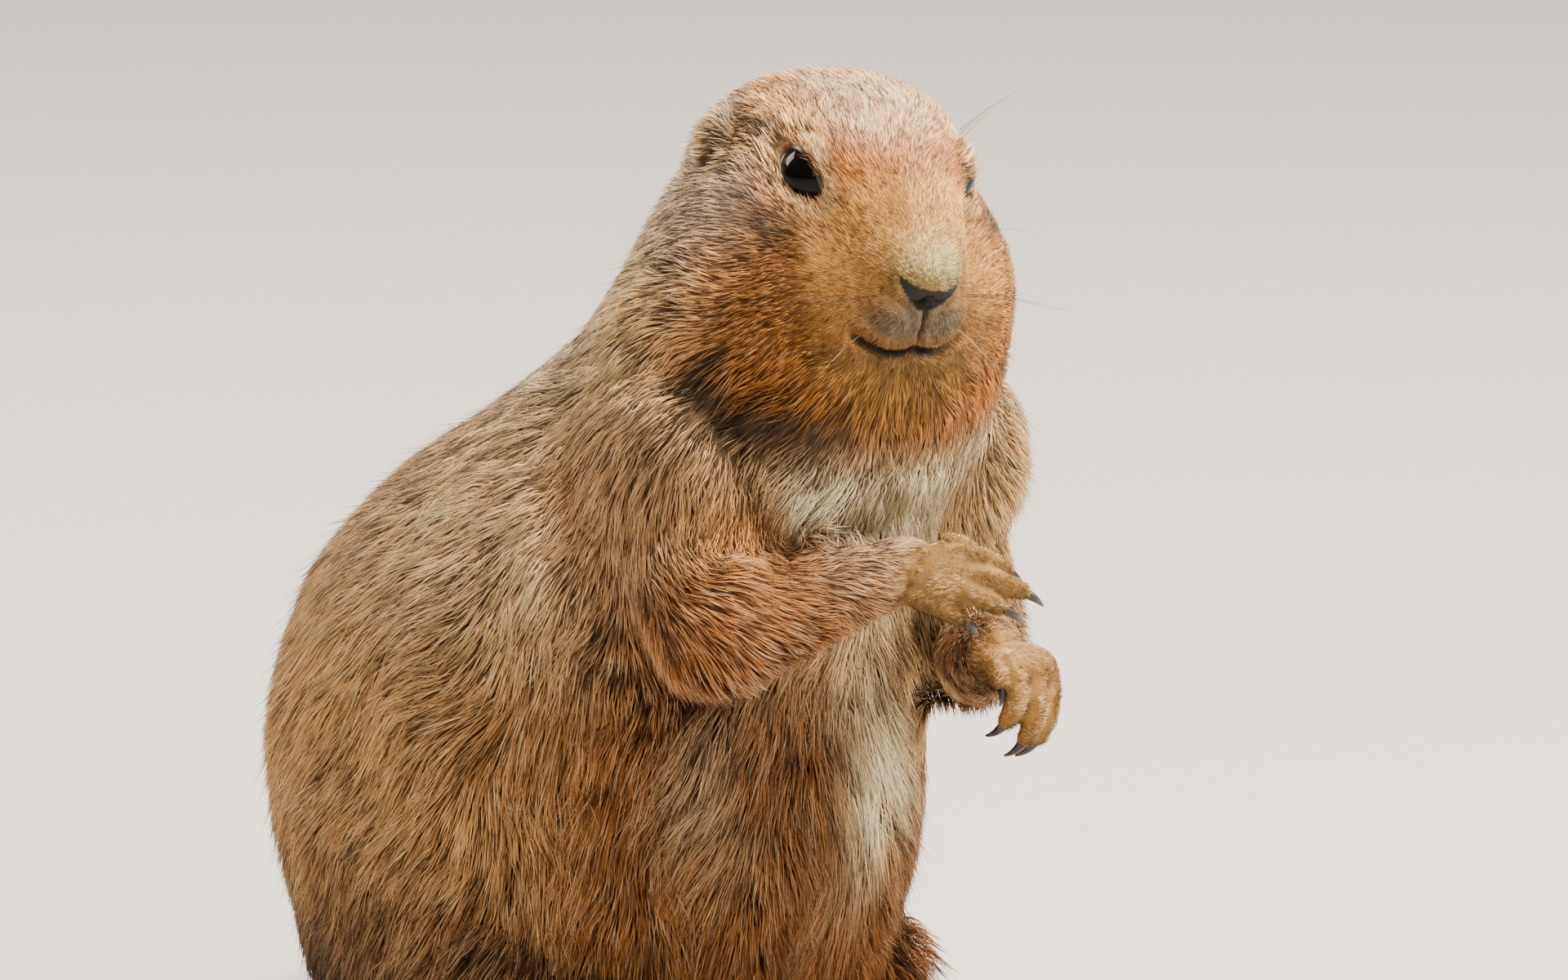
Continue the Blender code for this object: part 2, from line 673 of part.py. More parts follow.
def centre_over_origin(nodes):
    """Moves all nodes so that the middle of their common box stands over the origin."""
    low, high = Vector((1e9,) * 3), Vector((-1e9,) * 3)
    for node in nodes:
        for vert in node.data.vertices:
            low = Vector(map(min, low, vert.co))
            high = Vector(map(max, high, vert.co))
    shift = Matrix.Translation((-(low.x + high.x) / 2, -(low.y + high.y) / 2, 0.0))
    for node in nodes:
        node.data.transform(shift)


def arm_line(side_name):
    arm = ARMS[side_name]
    return [spot(*arm[joint]) for joint in ("shoulder", "elbow", "wrist")]


def arm_balls(side_name):
    """The balls that the upper arm and the forearm run between."""
    shoulder, elbow, wrist = arm_line(side_name)
    radii = [r * UNIT for r in ARMS[side_name]["radii"]]
    upper = [(shoulder, [r * UNIT for r in SHOULDER]), (elbow, [radii[1]] * 3)]
    lower = [(elbow, [radii[1]] * 3), (wrist, [radii[2]] * 3)]
    return upper, lower


def arm_forms(side_name, helpers):
    """The upper arm with its shoulder, and the forearm with its elbow."""
    (shoulder, swell), (elbow, elbow_radii) = arm_balls(side_name)[0]
    wrist, wrist_radii = arm_balls(side_name)[1][1]
    upper_radius = ARMS[side_name]["radii"][0] * UNIT
    return [
        ellipsoid("shoulder_form", shoulder, swell, helpers),
        limb("upper_arm_form", [shoulder, elbow], [upper_radius, elbow_radii[0]], helpers),
        ellipsoid("elbow_form", elbow, elbow_radii, helpers),
        limb("forearm_form", [elbow, wrist], [elbow_radii[0], wrist_radii[0]], helpers),
    ]


def shin_balls(side):
    return [(spot(side * p[0], p[1], p[2]), [r * UNIT] * 3) for p, r in zip(SHIN["points"], SHIN["radii"])]


def thigh_balls(side):
    centre = spot(side * THIGH["centre"][0], *THIGH["centre"][1:])
    return [(centre, [r * UNIT for r in THIGH["radii"]])]


def tail_balls():
    return [(spot(*p), [r * UNIT] * 3) for p, r in zip(TAIL_POINTS[1:], TAIL_RADII[1:])]


def whole_skin(head, helpers):
    """Trunk, limbs, tail, neck and head in one closed surface, with creases where they meet."""
    forms = [torso_form(helpers)]
    for side_name, side in SIDES.items():
        forms += arm_forms(side_name, helpers)
        for centre, radii in thigh_balls(side) + shin_balls(side):
            forms.append(ellipsoid("leg_form", centre, radii, helpers))
        (knee, knee_radii), (ankle, ankle_radii) = shin_balls(side)
        forms.append(limb("shin_form", [knee, ankle], [knee_radii[0], ankle_radii[0]], helpers))
    forms.append(limb("tail_form", [spot(*p) for p in TAIL_POINTS], [r * UNIT for r in TAIL_RADII], helpers))
    forms.append(ellipsoid("tail_end", spot(*TAIL_POINTS[-1]), (TAIL_RADII[-1] * UNIT,) * 3, helpers))
    forms.append(head_form(head, helpers))
    for side in SIDES.values():
        place, radii = CHEEK
        centre = head @ spot(side * place[0], place[1], place[2])
        forms.append(ellipsoid("cheek_form", centre, [r * UNIT for r in radii], helpers, head))
    body = fused("body", forms, BODY_VOXEL, 14, helpers)

    # the face again over the softened body, so that its own creases stay sharper
    face = [body]
    for side in SIDES.values():
        for place, radii in (ORBIT, WHISKER_PAD):
            centre = head @ spot(side * place[0], place[1], place[2])
            face.append(ellipsoid("face_form", centre, [r * UNIT for r in radii], helpers, head))
    for place, radii in (CHIN, NOSE_PAD):
        face.append(ellipsoid("face_form", head @ spot(*place), [r * UNIT for r in radii], helpers, head))
    return fused("skin", face, FACE_VOXEL, 3, helpers)


def carve_face(skin, head, helpers, parts):
    """Eyes in their sockets, the line of the mouth, the nostrils and the ears' hollows."""
    for side_name, side in SIDES.items():
        frame = eye_frame(head, side)
        eye = ellipsoid("eye_" + side_name, frame.translation, [EYE_RADIUS * UNIT] * 3, parts, frame, 18, 12)
        room = swollen(eye, GAP, helpers)
        boolean(skin, room, "DIFFERENCE")
        boolean(skin, lid_gap(frame, helpers), "DIFFERENCE")
        outer, inner = ear(head, side, helpers)
        room = swollen(outer, GAP, helpers)
        boolean(skin, room, "DIFFERENCE")
        boolean(skin, inner, "DIFFERENCE")
        node = copy_of(outer, "ear_" + side_name, parts)
        largest_shell(boolean(node, inner, "DIFFERENCE"))
        nostril = [head @ spot(side * x, forward, up) for x, forward, up in NOSTRIL["points"]]
        drill = limb("nostril", nostril, [NOSTRIL["radius"] * UNIT] * len(nostril), helpers, 0.0, 3, 1)
        boolean(skin, drill, "DIFFERENCE")
    boolean(skin, mouth_gap(head, helpers), "DIFFERENCE")
    largest_shell(skin)


def part_arm(skin, side_name, helpers, parts):
    """Forearm and upper arm cut free of the body, the forearm ending square at the wrist."""
    elbow, wrist = arm_line(side_name)[1:]
    upper, lower = arm_balls(side_name)
    forearm = part_off("forearm_" + side_name, skin, lower, LIMB_MARGIN, helpers, parts)
    keep_side(forearm, wrist, elbow - wrist, helpers)
    part_off("upper_arm_" + side_name, skin, upper, LIMB_MARGIN, helpers, parts)


def build():
    clear_scene()
    parts = bpy.data.collections.new("prairie_dog")
    helpers = bpy.data.collections.new("helpers")
    helpers.hide_render = True
    bpy.context.scene.collection.children.link(parts)
    bpy.context.scene.collection.children.link(helpers)
    head = head_frame()

    skin = thinned(whole_skin(head, helpers), SKIN_TRIANGLES, head @ spot(*FACE_MIDDLE))
    carve_face(skin, head, helpers, parts)

    # hands and feet with their claws, each claw in a pocket of its finger
    for side_name, side in SIDES.items():
        palm, claws = hand(side_name, helpers)
        thinned(palm, HAND_TRIANGLES)
        elbow, wrist = arm_line(side_name)[1:]
        keep_side(palm, wrist, wrist - elbow, helpers, GAP)
        sole, toe_claws = foot(side, helpers)
        thinned(sole, FOOT_TRIANGLES)
        for owner, label, found in ((palm, "claw", claws), (sole, "toe_claw", toe_claws)):
            for number, *rest in found:
                made = claw(f"{label}_{side_name}_{number}", *rest, parts)
                boolean(owner, swollen(made, GAP, helpers), "DIFFERENCE")
            largest_shell(owner)
        copy_of(palm, "hand_" + side_name, parts)
        copy_of(sole, "foot_" + side_name, parts)
        boolean(skin, swollen(sole, GAP, helpers), "DIFFERENCE")

    # the body parted from its ends inwards
    for side_name, side in SIDES.items():
        part_arm(skin, side_name, helpers, parts)
        part_off("shin_" + side_name, skin, shin_balls(side), LIMB_MARGIN, helpers, parts)
        part_off("thigh_" + side_name, skin, thigh_balls(side), LIMB_MARGIN, helpers, parts)
    tail = part_off("tail", skin, tail_balls(), TAIL_MARGIN, helpers, parts)
    tip_start = spot(*TAIL_POINTS[-2])
    tip_way = (spot(*TAIL_POINTS[-1]) - tip_start).normalized()
    tip = copy_of(tail, "tail_tip", parts)
    keep_side(tip, tip_start, tip_way, helpers, GAP)
    keep_side(tail, tip_start, -tip_way, helpers)

    head_cut, head_up = head @ spot(*HEAD_CUT[0]), head.to_3x3() @ way(*HEAD_CUT[1])
    crown = copy_of(skin, "head", parts)
    keep_side(crown, head_cut, head_up, helpers, GAP)
    keep_side(skin, head_cut, -head_up, helpers)
    neck = copy_of(skin, "neck", parts)
    neck_cut, neck_up = spot(*NECK_CUT[0]), way(*NECK_CUT[1])
    keep_side(neck, neck_cut, neck_up, helpers, GAP)
    torso = copy_of(skin, "torso", parts)
    keep_side(torso, neck_cut, -neck_up, helpers)

    for obj in list(helpers.objects):
        bpy.data.objects.remove(obj)
    floor = Vector((0.0, 0.0, 0.0))
    for node in list(parts.objects):
        if min(v.co.z for v in node.data.vertices) < 0.0:
            keep_side(node, floor, Vector((0.0, 0.0, 1.0)), helpers)
    for node in parts.objects:
        merge = node.modifiers.new("merge", "DECIMATE")
        merge.decimate_type = "DISSOLVE"
        merge.angle_limit = FLAT_ANGLE
        outward(applied(node))
    centre_over_origin(list(parts.objects))
    dress(parts)
    for node in parts.objects:
        print(node.name, len(node.data.polygons))


def dress(parts):
    """Materials by what each node is, and smooth shading."""
    slots = {
        "coat": coat_material("coat", COAT),
        "tail_black": coat_material("tail_black", TAIL_BLACK),
        "ear_skin": coat_material("ear_skin", EAR_SKIN),
        "hand_coat": coat_material("hand_coat", HAND_COAT),
        "claw_horn": coat_material("claw_horn", CLAW_HORN, 0.35),
        "eye_black": coat_material("eye_black", EYE_BLACK, 0.05),
    }
    kinds = (
        ("claw", "claw_horn"),
        ("toe_claw", "claw_horn"),
        ("eye", "eye_black"),
        ("ear", "ear_skin"),
        ("tail_tip", "tail_black"),
        ("hand", "hand_coat"),
        ("foot", "hand_coat"),
    )
    for node in parts.objects:
        slot = next((slot for start, slot in kinds if node.name.startswith(start)), "coat")
        node.data.materials.clear()
        node.data.materials.append(slots[slot])
        for face in node.data.polygons:
            face.material_index = 0
            face.use_smooth = True


build()
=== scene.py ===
import math

import bpy
import numpy as np
from mathutils import Matrix, Vector, kdtree


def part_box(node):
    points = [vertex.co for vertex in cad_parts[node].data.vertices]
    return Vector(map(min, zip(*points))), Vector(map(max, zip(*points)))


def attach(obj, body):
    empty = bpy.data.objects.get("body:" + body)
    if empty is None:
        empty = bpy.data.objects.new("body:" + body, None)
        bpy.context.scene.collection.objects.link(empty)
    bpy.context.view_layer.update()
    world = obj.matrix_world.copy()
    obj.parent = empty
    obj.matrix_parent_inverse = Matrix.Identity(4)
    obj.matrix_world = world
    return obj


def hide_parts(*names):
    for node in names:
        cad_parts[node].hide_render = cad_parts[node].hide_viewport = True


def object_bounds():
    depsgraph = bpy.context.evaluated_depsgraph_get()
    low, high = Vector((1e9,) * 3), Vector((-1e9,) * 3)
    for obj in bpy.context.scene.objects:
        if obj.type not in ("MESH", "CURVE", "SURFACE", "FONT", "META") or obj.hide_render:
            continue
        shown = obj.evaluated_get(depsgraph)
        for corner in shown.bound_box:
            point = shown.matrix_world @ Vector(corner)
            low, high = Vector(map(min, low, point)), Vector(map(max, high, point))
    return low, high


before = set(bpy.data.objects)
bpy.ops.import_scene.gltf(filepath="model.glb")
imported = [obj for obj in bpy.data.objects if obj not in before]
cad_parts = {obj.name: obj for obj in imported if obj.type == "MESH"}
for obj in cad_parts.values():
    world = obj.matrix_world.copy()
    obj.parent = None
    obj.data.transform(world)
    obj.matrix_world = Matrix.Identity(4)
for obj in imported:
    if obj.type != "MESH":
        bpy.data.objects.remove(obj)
cadLow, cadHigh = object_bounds()
dice = np.random.default_rng(27)

unit = 0.00088  # metres in one drawing unit: shape sizes are in these units, coat sizes in millimetres
mm = 0.001
headPose = {"centre": (1.3, 74.0, 218.3), "yaw": 20.5, "pitch": 11.0, "roll": 6.2}
eyeShape = {
    "place": (17.1, 12.3, 4.3),
    "radius": 7.8,
    "aim": (62.0, 12.0),
    "tilt": 32.0,
    "opening": (7.4, 4.2, 3.2),  # half length, then heights over and under the corners
    "lift": -0.7,
}
sideSigns = {"right": -1, "left": 1}


# places and directions: left, forward, up in the body's axes, or in the head's own from its centre

def rotation(degrees, axis):
    return np.array(Matrix.Rotation(math.radians(degrees), 3, axis))


headTilt = rotation(headPose["pitch"], "X") @ rotation(headPose["roll"], "Y")
headTurn = rotation(-headPose["yaw"], "Z") @ headTilt


def eyeTurn(side):
    # the eye's own axes in the body's: -Y looks out, X runs from corner to corner
    aim = rotation(side * eyeShape["aim"][0], "Z") @ rotation(-eyeShape["aim"][1], "X")
    return headTurn @ aim @ rotation(-side * eyeShape["tilt"], "Y")


def bare(left, forward, up):
    return np.stack(np.broadcast_arrays(left, -np.asarray(forward), up), -1) * unit


def headBare(left, forward, up):
    return bare(*headPose["centre"]) + bare(left, forward, up) @ headTurn.T


# the frame's origin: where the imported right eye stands, less where the drawing has it
eyeLow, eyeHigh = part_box("eye_right")
eyeMiddle = (np.array(eyeLow) + np.array(eyeHigh)) / 2
origin = eyeMiddle - headBare(-eyeShape["place"][0], *eyeShape["place"][1:])


def spot(left, forward, up):
    return bare(left, forward, up) + origin


def headSpot(left, forward, up):
    return headBare(left, forward, up) + origin


def bodyUnits(points):
    # metres in the frame back to left, forward, up
    return (points - origin) / unit * np.array([1.0, -1.0, 1.0])


def headUnits(points):
    return ((points - spot(*headPose["centre"])) @ headTurn) / unit * np.array([1.0, -1.0, 1.0])


def eyeCentre(side):
    return headSpot(side * eyeShape["place"][0], *eyeShape["place"][1:])


def unitRows(rows):
    return rows / np.maximum(np.linalg.norm(rows, axis=-1, keepdims=True), 1e-9)


def ramp(low, high, value):
    # 0 below low, 1 above high, an S curve between
    share = np.clip((value - low) / (high - low), 0.0, 1.0)
    return share * share * (3.0 - 2.0 * share)


def hump(points, centre, radii):
    # 1 at the centre, falling as a bell curve with the given radii
    return np.exp(-(((points - np.array(centre)) / np.array(radii)) ** 2).sum(-1))


def waves(points, size, seed, count=14):
    # smooth noise from -1 to 1: a sum of plane waves in random directions, with features of the given size
    draw = np.random.default_rng(seed)
    ways = unitRows(draw.normal(size=(count, 3))) * (2 * math.pi / size)
    ways = ways * draw.uniform(0.6, 1.5, (count, 1))
    return np.sin(points @ ways.T + draw.uniform(0, 2 * math.pi, count)).sum(1) / math.sqrt(count) * 1.2


# meshes from arrays

def meshPiece(name, points, faces, smooth=True):
    count, corners = faces.shape
    mesh = bpy.data.meshes.new(name)
    mesh.vertices.add(len(points))
    mesh.loops.add(count * corners)
    mesh.polygons.add(count)
    mesh.vertices.foreach_set("co", np.asarray(points, np.float32).ravel())
    mesh.loops.foreach_set("vertex_index", faces.astype(np.int32).ravel())
    mesh.polygons.foreach_set("loop_start", np.arange(count, dtype=np.int32) * corners)
    mesh.polygons.foreach_set("use_smooth", np.full(count, smooth))
    mesh.update(calc_edges=True)
    piece = bpy.data.objects.new(name, mesh)
    bpy.context.scene.collection.objects.link(piece)
    return piece


def turnedOut(points, faces):
    # faces point outwards: the sum of the signed corners' volumes is positive
    a, b, c = (points[faces[:, k]] for k in range(3))
    volume = (a * np.cross(b, c)).sum()
    return points, faces if volume > 0 else faces[:, ::-1]


def closedGrid(grid):
    # a grid of points whose columns close on themselves, with a pole at each end
    rows, columns = grid.shape[:2]
    index = np.arange(rows * columns).reshape(rows, columns)
    after = np.roll(index, -1, axis=1)
    a, b, c, d = index[:-1], after[:-1], after[1:], index[1:]
    corners = (np.stack((a, b, c), -1), np.stack((a, c, d), -1))
    sides = np.concatenate([part.reshape(-1, 3) for part in corners])
    poles = np.full(columns, rows * columns)
    start = np.stack((after[0], index[0], poles), -1)
    end = np.stack((index[-1], after[-1], poles + 1), -1)
    points = np.vstack((grid.reshape(-1, 3), grid[0].mean(0), grid[-1].mean(0)))
    return turnedOut(points, np.vstack((sides, start, end)))


def smoothRows(rows, steps):
    # Catmull-Rom: rows of numbers read along a smooth curve through them
    rows = np.array(rows, float)
    padded = np.vstack((2 * rows[0] - rows[1], rows, 2 * rows[-1] - rows[-2]))
    t = (np.arange(steps) / steps)[None, :, None]
    a, b, c, d = (padded[k : k + len(rows) - 1, None, :] for k in range(4))
    bend = (2 * a - 5 * b + 4 * c - d) * t**2 + (3 * b - a - 3 * c + d) * t**3
    found = 0.5 * (2 * b + (c - a) * t + bend)
    return np.vstack((found.reshape(-1, rows.shape[1]), rows[-1]))


def superRing(angle, power):
    # cosine and sine raised to 2 / power, with their signs: a rounded square for powers over 2
    c, s = np.cos(angle), np.sin(angle)
    return np.sign(c) * np.abs(c) ** (2 / power), np.sign(s) * np.abs(s) ** (2 / power)


def polarShape(polar, around):
    # a unit ball's x, y and z
    return np.sin(polar) * np.cos(around), np.sin(polar) * np.sin(around), np.cos(polar) + 0 * around


def ball(centre, radii, axes=None, rows=15, columns=24):
    # centre plus radii times the unit ball, given in its own axes
    polar = (np.linspace(0, math.pi, rows + 2)[1:-1])[:, None]
    around = (np.arange(columns) / columns * 2 * math.pi)[None, :]
    shape = np.stack(polarShape(polar, around), -1)
    axes = np.eye(3) if axes is None else axes
    return closedGrid((shape * np.array(radii)) @ axes.T + centre)


def tube(points, radii, steps=6, columns=14):
    # a circle carried along a smooth path, its radius read along the same curve
    rows = smoothRows(np.column_stack((points, radii)), steps)
    path, radius = rows[:, :3], rows[:, 3]
    tangent = unitRows(np.gradient(path, axis=0))
    rest = np.eye(3)[np.argmin(np.abs(tangent.mean(0)))]
    side = unitRows(np.cross(tangent, rest))
    other = np.cross(side, tangent)
    around = (np.arange(columns) / columns * 2 * math.pi)[None, :, None]
    ring = side[:, None] * np.cos(around) + other[:, None] * np.sin(around)
    return closedGrid(path[:, None] + ring * radius[:, None, None])


def joined(forms):
    counts = np.cumsum([0] + [len(points) for points, faces in forms[:-1]])
    points = np.vstack([points for points, faces in forms])
    faces = np.vstack([faces + start for (_, faces), start in zip(forms, counts)])
    return points, faces


def meshArrays(obj):
    # points, normals and triangles of an object with its modifiers worked in; the object is removed
    graph = bpy.context.evaluated_depsgraph_get()
    mesh = bpy.data.meshes.new_from_object(obj.evaluated_get(graph))
    points = np.empty(len(mesh.vertices) * 3)
    mesh.vertices.foreach_get("co", points)
    normals = np.empty(len(mesh.vertices) * 3)
    mesh.vertex_normals.foreach_get("vector", normals)
    mesh.calc_loop_triangles()
    faces = np.empty(len(mesh.loop_triangles) * 3, int)
    mesh.loop_triangles.foreach_get("vertices", faces)
    bpy.data.objects.remove(obj)
    return points.reshape(-1, 3), normals.reshape(-1, 3), faces.reshape(-1, 3)


def fused(forms, voxel, rounds):
    # one closed surface over overlapping forms, relaxed so that creases fill
    obj = meshPiece("fusing", *joined(forms))
    union = obj.modifiers.new("union", "REMESH")
    union.mode = "VOXEL"
    union.voxel_size = voxel
    relax = obj.modifiers.new("relax", "SMOOTH")
    relax.factor = 0.5
    relax.iterations = rounds
    return meshArrays(obj)


# the body under its coat: the same forms as the solids, from the same sizes

trunk = {
    "rows": (  # up, centre forward, half width, half depth
        (-3.0, -4.0, 28.0, 28.0),
        (0.0, -4.0, 40.0, 40.0),
        (6.0, -3.0, 54.0, 54.0),
        (20.0, -1.0, 64.0, 64.0),
        (40.0, 0.0, 69.5, 70.0),
        (60.0, 0.0, 73.5, 74.0),
        (82.0, 0.5, 74.5, 75.0),
        (102.0, 3.5, 72.0, 72.5),
        (122.0, 11.0, 67.5, 69.5),
        (142.0, 27.0, 61.0, 65.0),
        (160.0, 46.0, 54.5, 58.0),
        (176.0, 58.0, 50.0, 50.0),
        (190.0, 65.0, 46.0, 45.5),
        (203.0, 67.0, 41.0, 40.5),
        (213.0, 67.0, 36.0, 35.0),
        (222.0, 66.0, 28.0, 27.0),
    ),
    "squareness": 2.15,
    "around": 64,
}
skull = {
    "rows": (  # forward, half width, top, widest level, bottom, in the head's own axes
        (46.0, 3.0, -8.0, -11.0, -14.0),
        (45.0, 6.8, -5.0, -12.0, -20.0),
        (43.0, 10.0, -2.5, -13.5, -25.5),
        (39.0, 13.0, 0.5, -15.0, -29.5),
        (33.0, 16.3, 5.5, -16.0, -33.0),
        (25.0, 20.6, 12.0, -16.0, -36.5),
        (15.0, 26.0, 18.0, -15.0, -38.0),
        (4.0, 30.5, 21.6, -14.0, -39.0),
        (-8.0, 31.0, 21.8, -13.0, -39.0),
        (-20.0, 29.5, 18.5, -12.0, -38.0),
        (-31.0, 25.0, 9.5, -12.0, -38.0),
        (-39.0, 17.5, -1.5, -14.0, -36.0),
        (-43.0, 9.0, -9.0, -17.0, -30.0),
    ),
    "crownSquareness": 2.75,
    "cheek": ((21.5, 6.0, -17.0), (14.0, 18.0, 16.0)),
}
arms = {
    "right": {
        "joints": ((-42.0, 58.0, 152.0), (-48.0, 76.0, 120.0), (-8.0, 99.0, 130.0)),
        "radii": (19.0, 16.5, 7.6),
    },
    "left": {
        "joints": ((42.0, 64.0, 146.0), (45.0, 74.0, 99.0), (16.0, 104.0, 107.0)),
        "radii": (17.0, 13.5, 7.6),
    },
    "shoulder": (20.0, 26.0, 28.0),
}
legs = {
    "thigh": ((46.0, 4.0, 38.0), (28.0, 43.0, 39.0)),
    "shin": ((47.0, 42.0, 22.0), (40.0, 18.0, 13.0)),
    "shinRadii": (15.0, 12.0),
}
tail = {
    "points": (
        (4.0, -46.0, 17.0),
        (12.0, -68.0, 12.0),
        (28.0, -86.0, 9.5),
        (48.0, -96.0, 9.0),
        (68.0, -98.0, 8.0),
    ),
    "radii": (13.0, 11.0, 9.8, 9.6, 6.0),
}
hands = {
    "right": {
        "along": (0.30, 0.94, -0.10),
        "across": (-0.66, 0.05, -0.75),
        "palmSign": 1.0,
        "fingers": (  # place in the row, start, splay, bends at the joints, length
            (-6.0, 0.5, -4.0, (8.0, 16.0, 16.0), 10.0),
            (-2.0, 1.0, -1.0, (4.0, 12.0, 14.0), 15.0),
            (2.2, 0.0, 3.0, (4.0, 12.0, 14.0), 12.4),
            (6.0, -5.5, 9.0, (8.0, 16.0, 14.0), 10.0),
        ),
    },
    "left": {
        "along": (0.10, 0.98, -0.10),
        "across": (0.98, -0.16, -0.12),
        "palmSign": -1.0,
        "fingers": (
            (-6.6, -1.0, -10.0, (60.0, 34.0, 20.0), 13.5),
            (-2.2, 0.3, -2.0, (56.0, 34.0, 18.0), 17.5),
            (2.4, 0.0, 3.0, (56.0, 32.0, 18.0), 17.5),
            (6.6, -1.5, 9.0, (60.0, 28.0, 18.0), 14.0),
        ),
    },
    "palmLength": 11.5,
    "palmRadii": (9.0, 9.5, 5.0),
    "palmMiddle": 8.5,
    "wristBack": 9.0,
    "wristAhead": 5.0,
    "wristRadii": (7.8, 7.2, 6.4),
    "fingerRadius": 2.7,
    "fingerTaper": (1.05, 1.18, 1.0, 1.02, 0.80),
    "fingerRoot": 7.0,  # how far back in the palm a finger starts, and how much nearer to its middle
    "fingerGather": 0.25,
    "fingerTip": 1.08,
    "knuckle": 1.12,
    "bones": (0.44, 0.32, 0.24),
    "thumb": {"place": -8.0, "start": 6.5, "splay": 24.0, "bends": (30.0, 22.0, 10.0), "length": 7.5},
    "thumbRadii": (2.6, 2.5, 2.1, 1.7),
}
claws = {
    "length": 8.5,
    "radius": 1.4,
    "thumbLength": 4.0,
    "thumbRadius": 1.0,
    "bend": 52.0,
    "taper": 0.82,
    "steps": 9,
    "root": 0.8,
}
feet = {
    "heel": (38.0, 20.0),
    "turnedOut": 9.0,
    "ball": 35.2,
    "middle": 16.0,
    "heights": (8.0, 9.0, 5.5),
    "radii": (9.5, 10.5, 8.0),
    "heelRadii": (9.5, 9.0, 9.0),
    "ballRadii": (13.0, 11.0, 6.8),
    "toes": (  # place across the foot, start, splay, length
        (-9.5, -9.0, -12.0, 12.0),
        (-5.0, -1.0, -5.0, 15.5),
        (0.0, 1.0, 1.0, 16.5),
        (5.2, -0.5, 6.0, 15.5),
        (9.6, -9.0, 14.0, 12.5),
    ),
    "toeStart": 5.0,
    "toeHeights": (5.0, 5.8, 3.4),
    "toeRadii": (3.8, 3.7, 3.1),
    "claw": {"bend": 2.0, "length": 7.6, "radius": 1.45, "ahead": 1.0, "above": 1.0},
}
ears = {
    "place": (27.0, -13.0, 1.2),
    "radii": (4.3, 6.1, 7.7),
    "opens": (0.62, 0.78, 0.05),
    "cup": 4.2,
    "cupRadii": (2.0, 2.4, 4.4),
}
face = {
    "orbit": ((16.6, 12.3, 4.2), (8.0, 8.3, 8.0)),
    "whiskerPad": ((6.6, 35.8, -18.0), (7.0, 8.8, 7.0)),
    "chin": ((0.0, 33.0, -28.0), (7.9, 8.4, 5.9)),
    "nosePad": ((0.0, 41.0, -9.6), (7.0, 4.6, 4.9)),
    "noseTip": (0.0, 44.0, -12.0),
}
mouth = {"level": -26.6, "sag": 2.0, "rise": 2.6, "middle": 31.0, "spread": 62.0}
underCoat = 0.95  # hands and feet are this much thinner than their solids
skinSet = {"trunkVoxel": 1.9 * mm, "trunkRounds": 14, "voxel": 0.62 * mm, "rounds": 4, "triangles": 170000}


def way(left, forward, up):
    return unitRows(np.array((left, -forward, up), float))


def turned(vector, axis, degrees):
    return np.array(Matrix.Rotation(math.radians(degrees), 3, Vector(axis)) @ Vector(vector))


def fingerLine(base, along, palm, splay, bends, length):
    # joints of a finger from its knuckle: each joint bends it further towards the palm
    heading = unitRows(turned(along, palm, splay))
    side = unitRows(np.cross(heading, palm))
    totals = np.cumsum(bends)
    bones = length * unit * np.array(hands["bones"])
    steps = [turned(heading, side, total) * bone for total, bone in zip(totals, bones)]
    return np.vstack((base, base + np.cumsum(steps, axis=0))), side, totals[-1], heading


def handForms(sideName):
    plan, arm = hands[sideName], arms[sideName]
    elbow, wrist = spot(*arm["joints"][1]), spot(*arm["joints"][2])
    along, across = way(*plan["along"]), way(*plan["across"])
    palm = unitRows(np.cross(along, across))
    across = unitRows(np.cross(palm, along))
    axes = np.stack((across, along, palm), -1)
    palm = palm * plan["palmSign"]
    back, ahead = hands["wristBack"] * unit, hands["wristAhead"] * unit
    wristLine = (wrist + unitRows(elbow - wrist) * back, wrist, wrist + along * ahead)
    palmMiddle = wrist + along * hands["palmMiddle"] * unit
    forms = [
        tube(wristLine, np.array(hands["wristRadii"]) * unit * underCoat),
        ball(palmMiddle, np.array(hands["palmRadii"]) * unit * underCoat, axes),
    ]
    nails = []
    for number, (place, start, splay, bends, length) in enumerate(plan["fingers"], start=2):
        base = wrist + (along * (hands["palmLength"] + start) + across * place) * unit
        splay = plan["palmSign"] * splay
        points, side, total, heading = fingerLine(base, along, palm, splay, bends, length)
        root = base - (along * hands["fingerRoot"] + across * place * hands["fingerGather"]) * unit
        widths = hands["fingerRadius"] * np.array(hands["fingerTaper"]) * unit * underCoat
        forms.append(tube(np.vstack((root, points)), widths))
        forms.append(ball(points[-1], [widths[-1] * hands["fingerTip"]] * 3, None, 8, 14))
        knuckle = points[1]  # a low swelling over the first joint
        forms.append(ball(knuckle, [widths[2] * hands["knuckle"]] * 3, None, 8, 14))
        last = unitRows(points[-1] - points[-2])
        start = points[-1] - last * claws["root"] * unit
        nails.append((number, start, side, total, heading, claws["length"], claws["radius"]))
    thumb = hands["thumb"]
    base = wrist + (along * thumb["start"] + across * thumb["place"]) * unit
    splay = -plan["palmSign"] * thumb["splay"]
    points, side, total, heading = fingerLine(base, along, palm, splay, thumb["bends"], thumb["length"])
    forms.append(tube(points, np.array(hands["thumbRadii"]) * unit))
    nails.insert(0, (1, points[-1], side, total, heading, claws["thumbLength"], claws["thumbRadius"]))
    return forms, nails


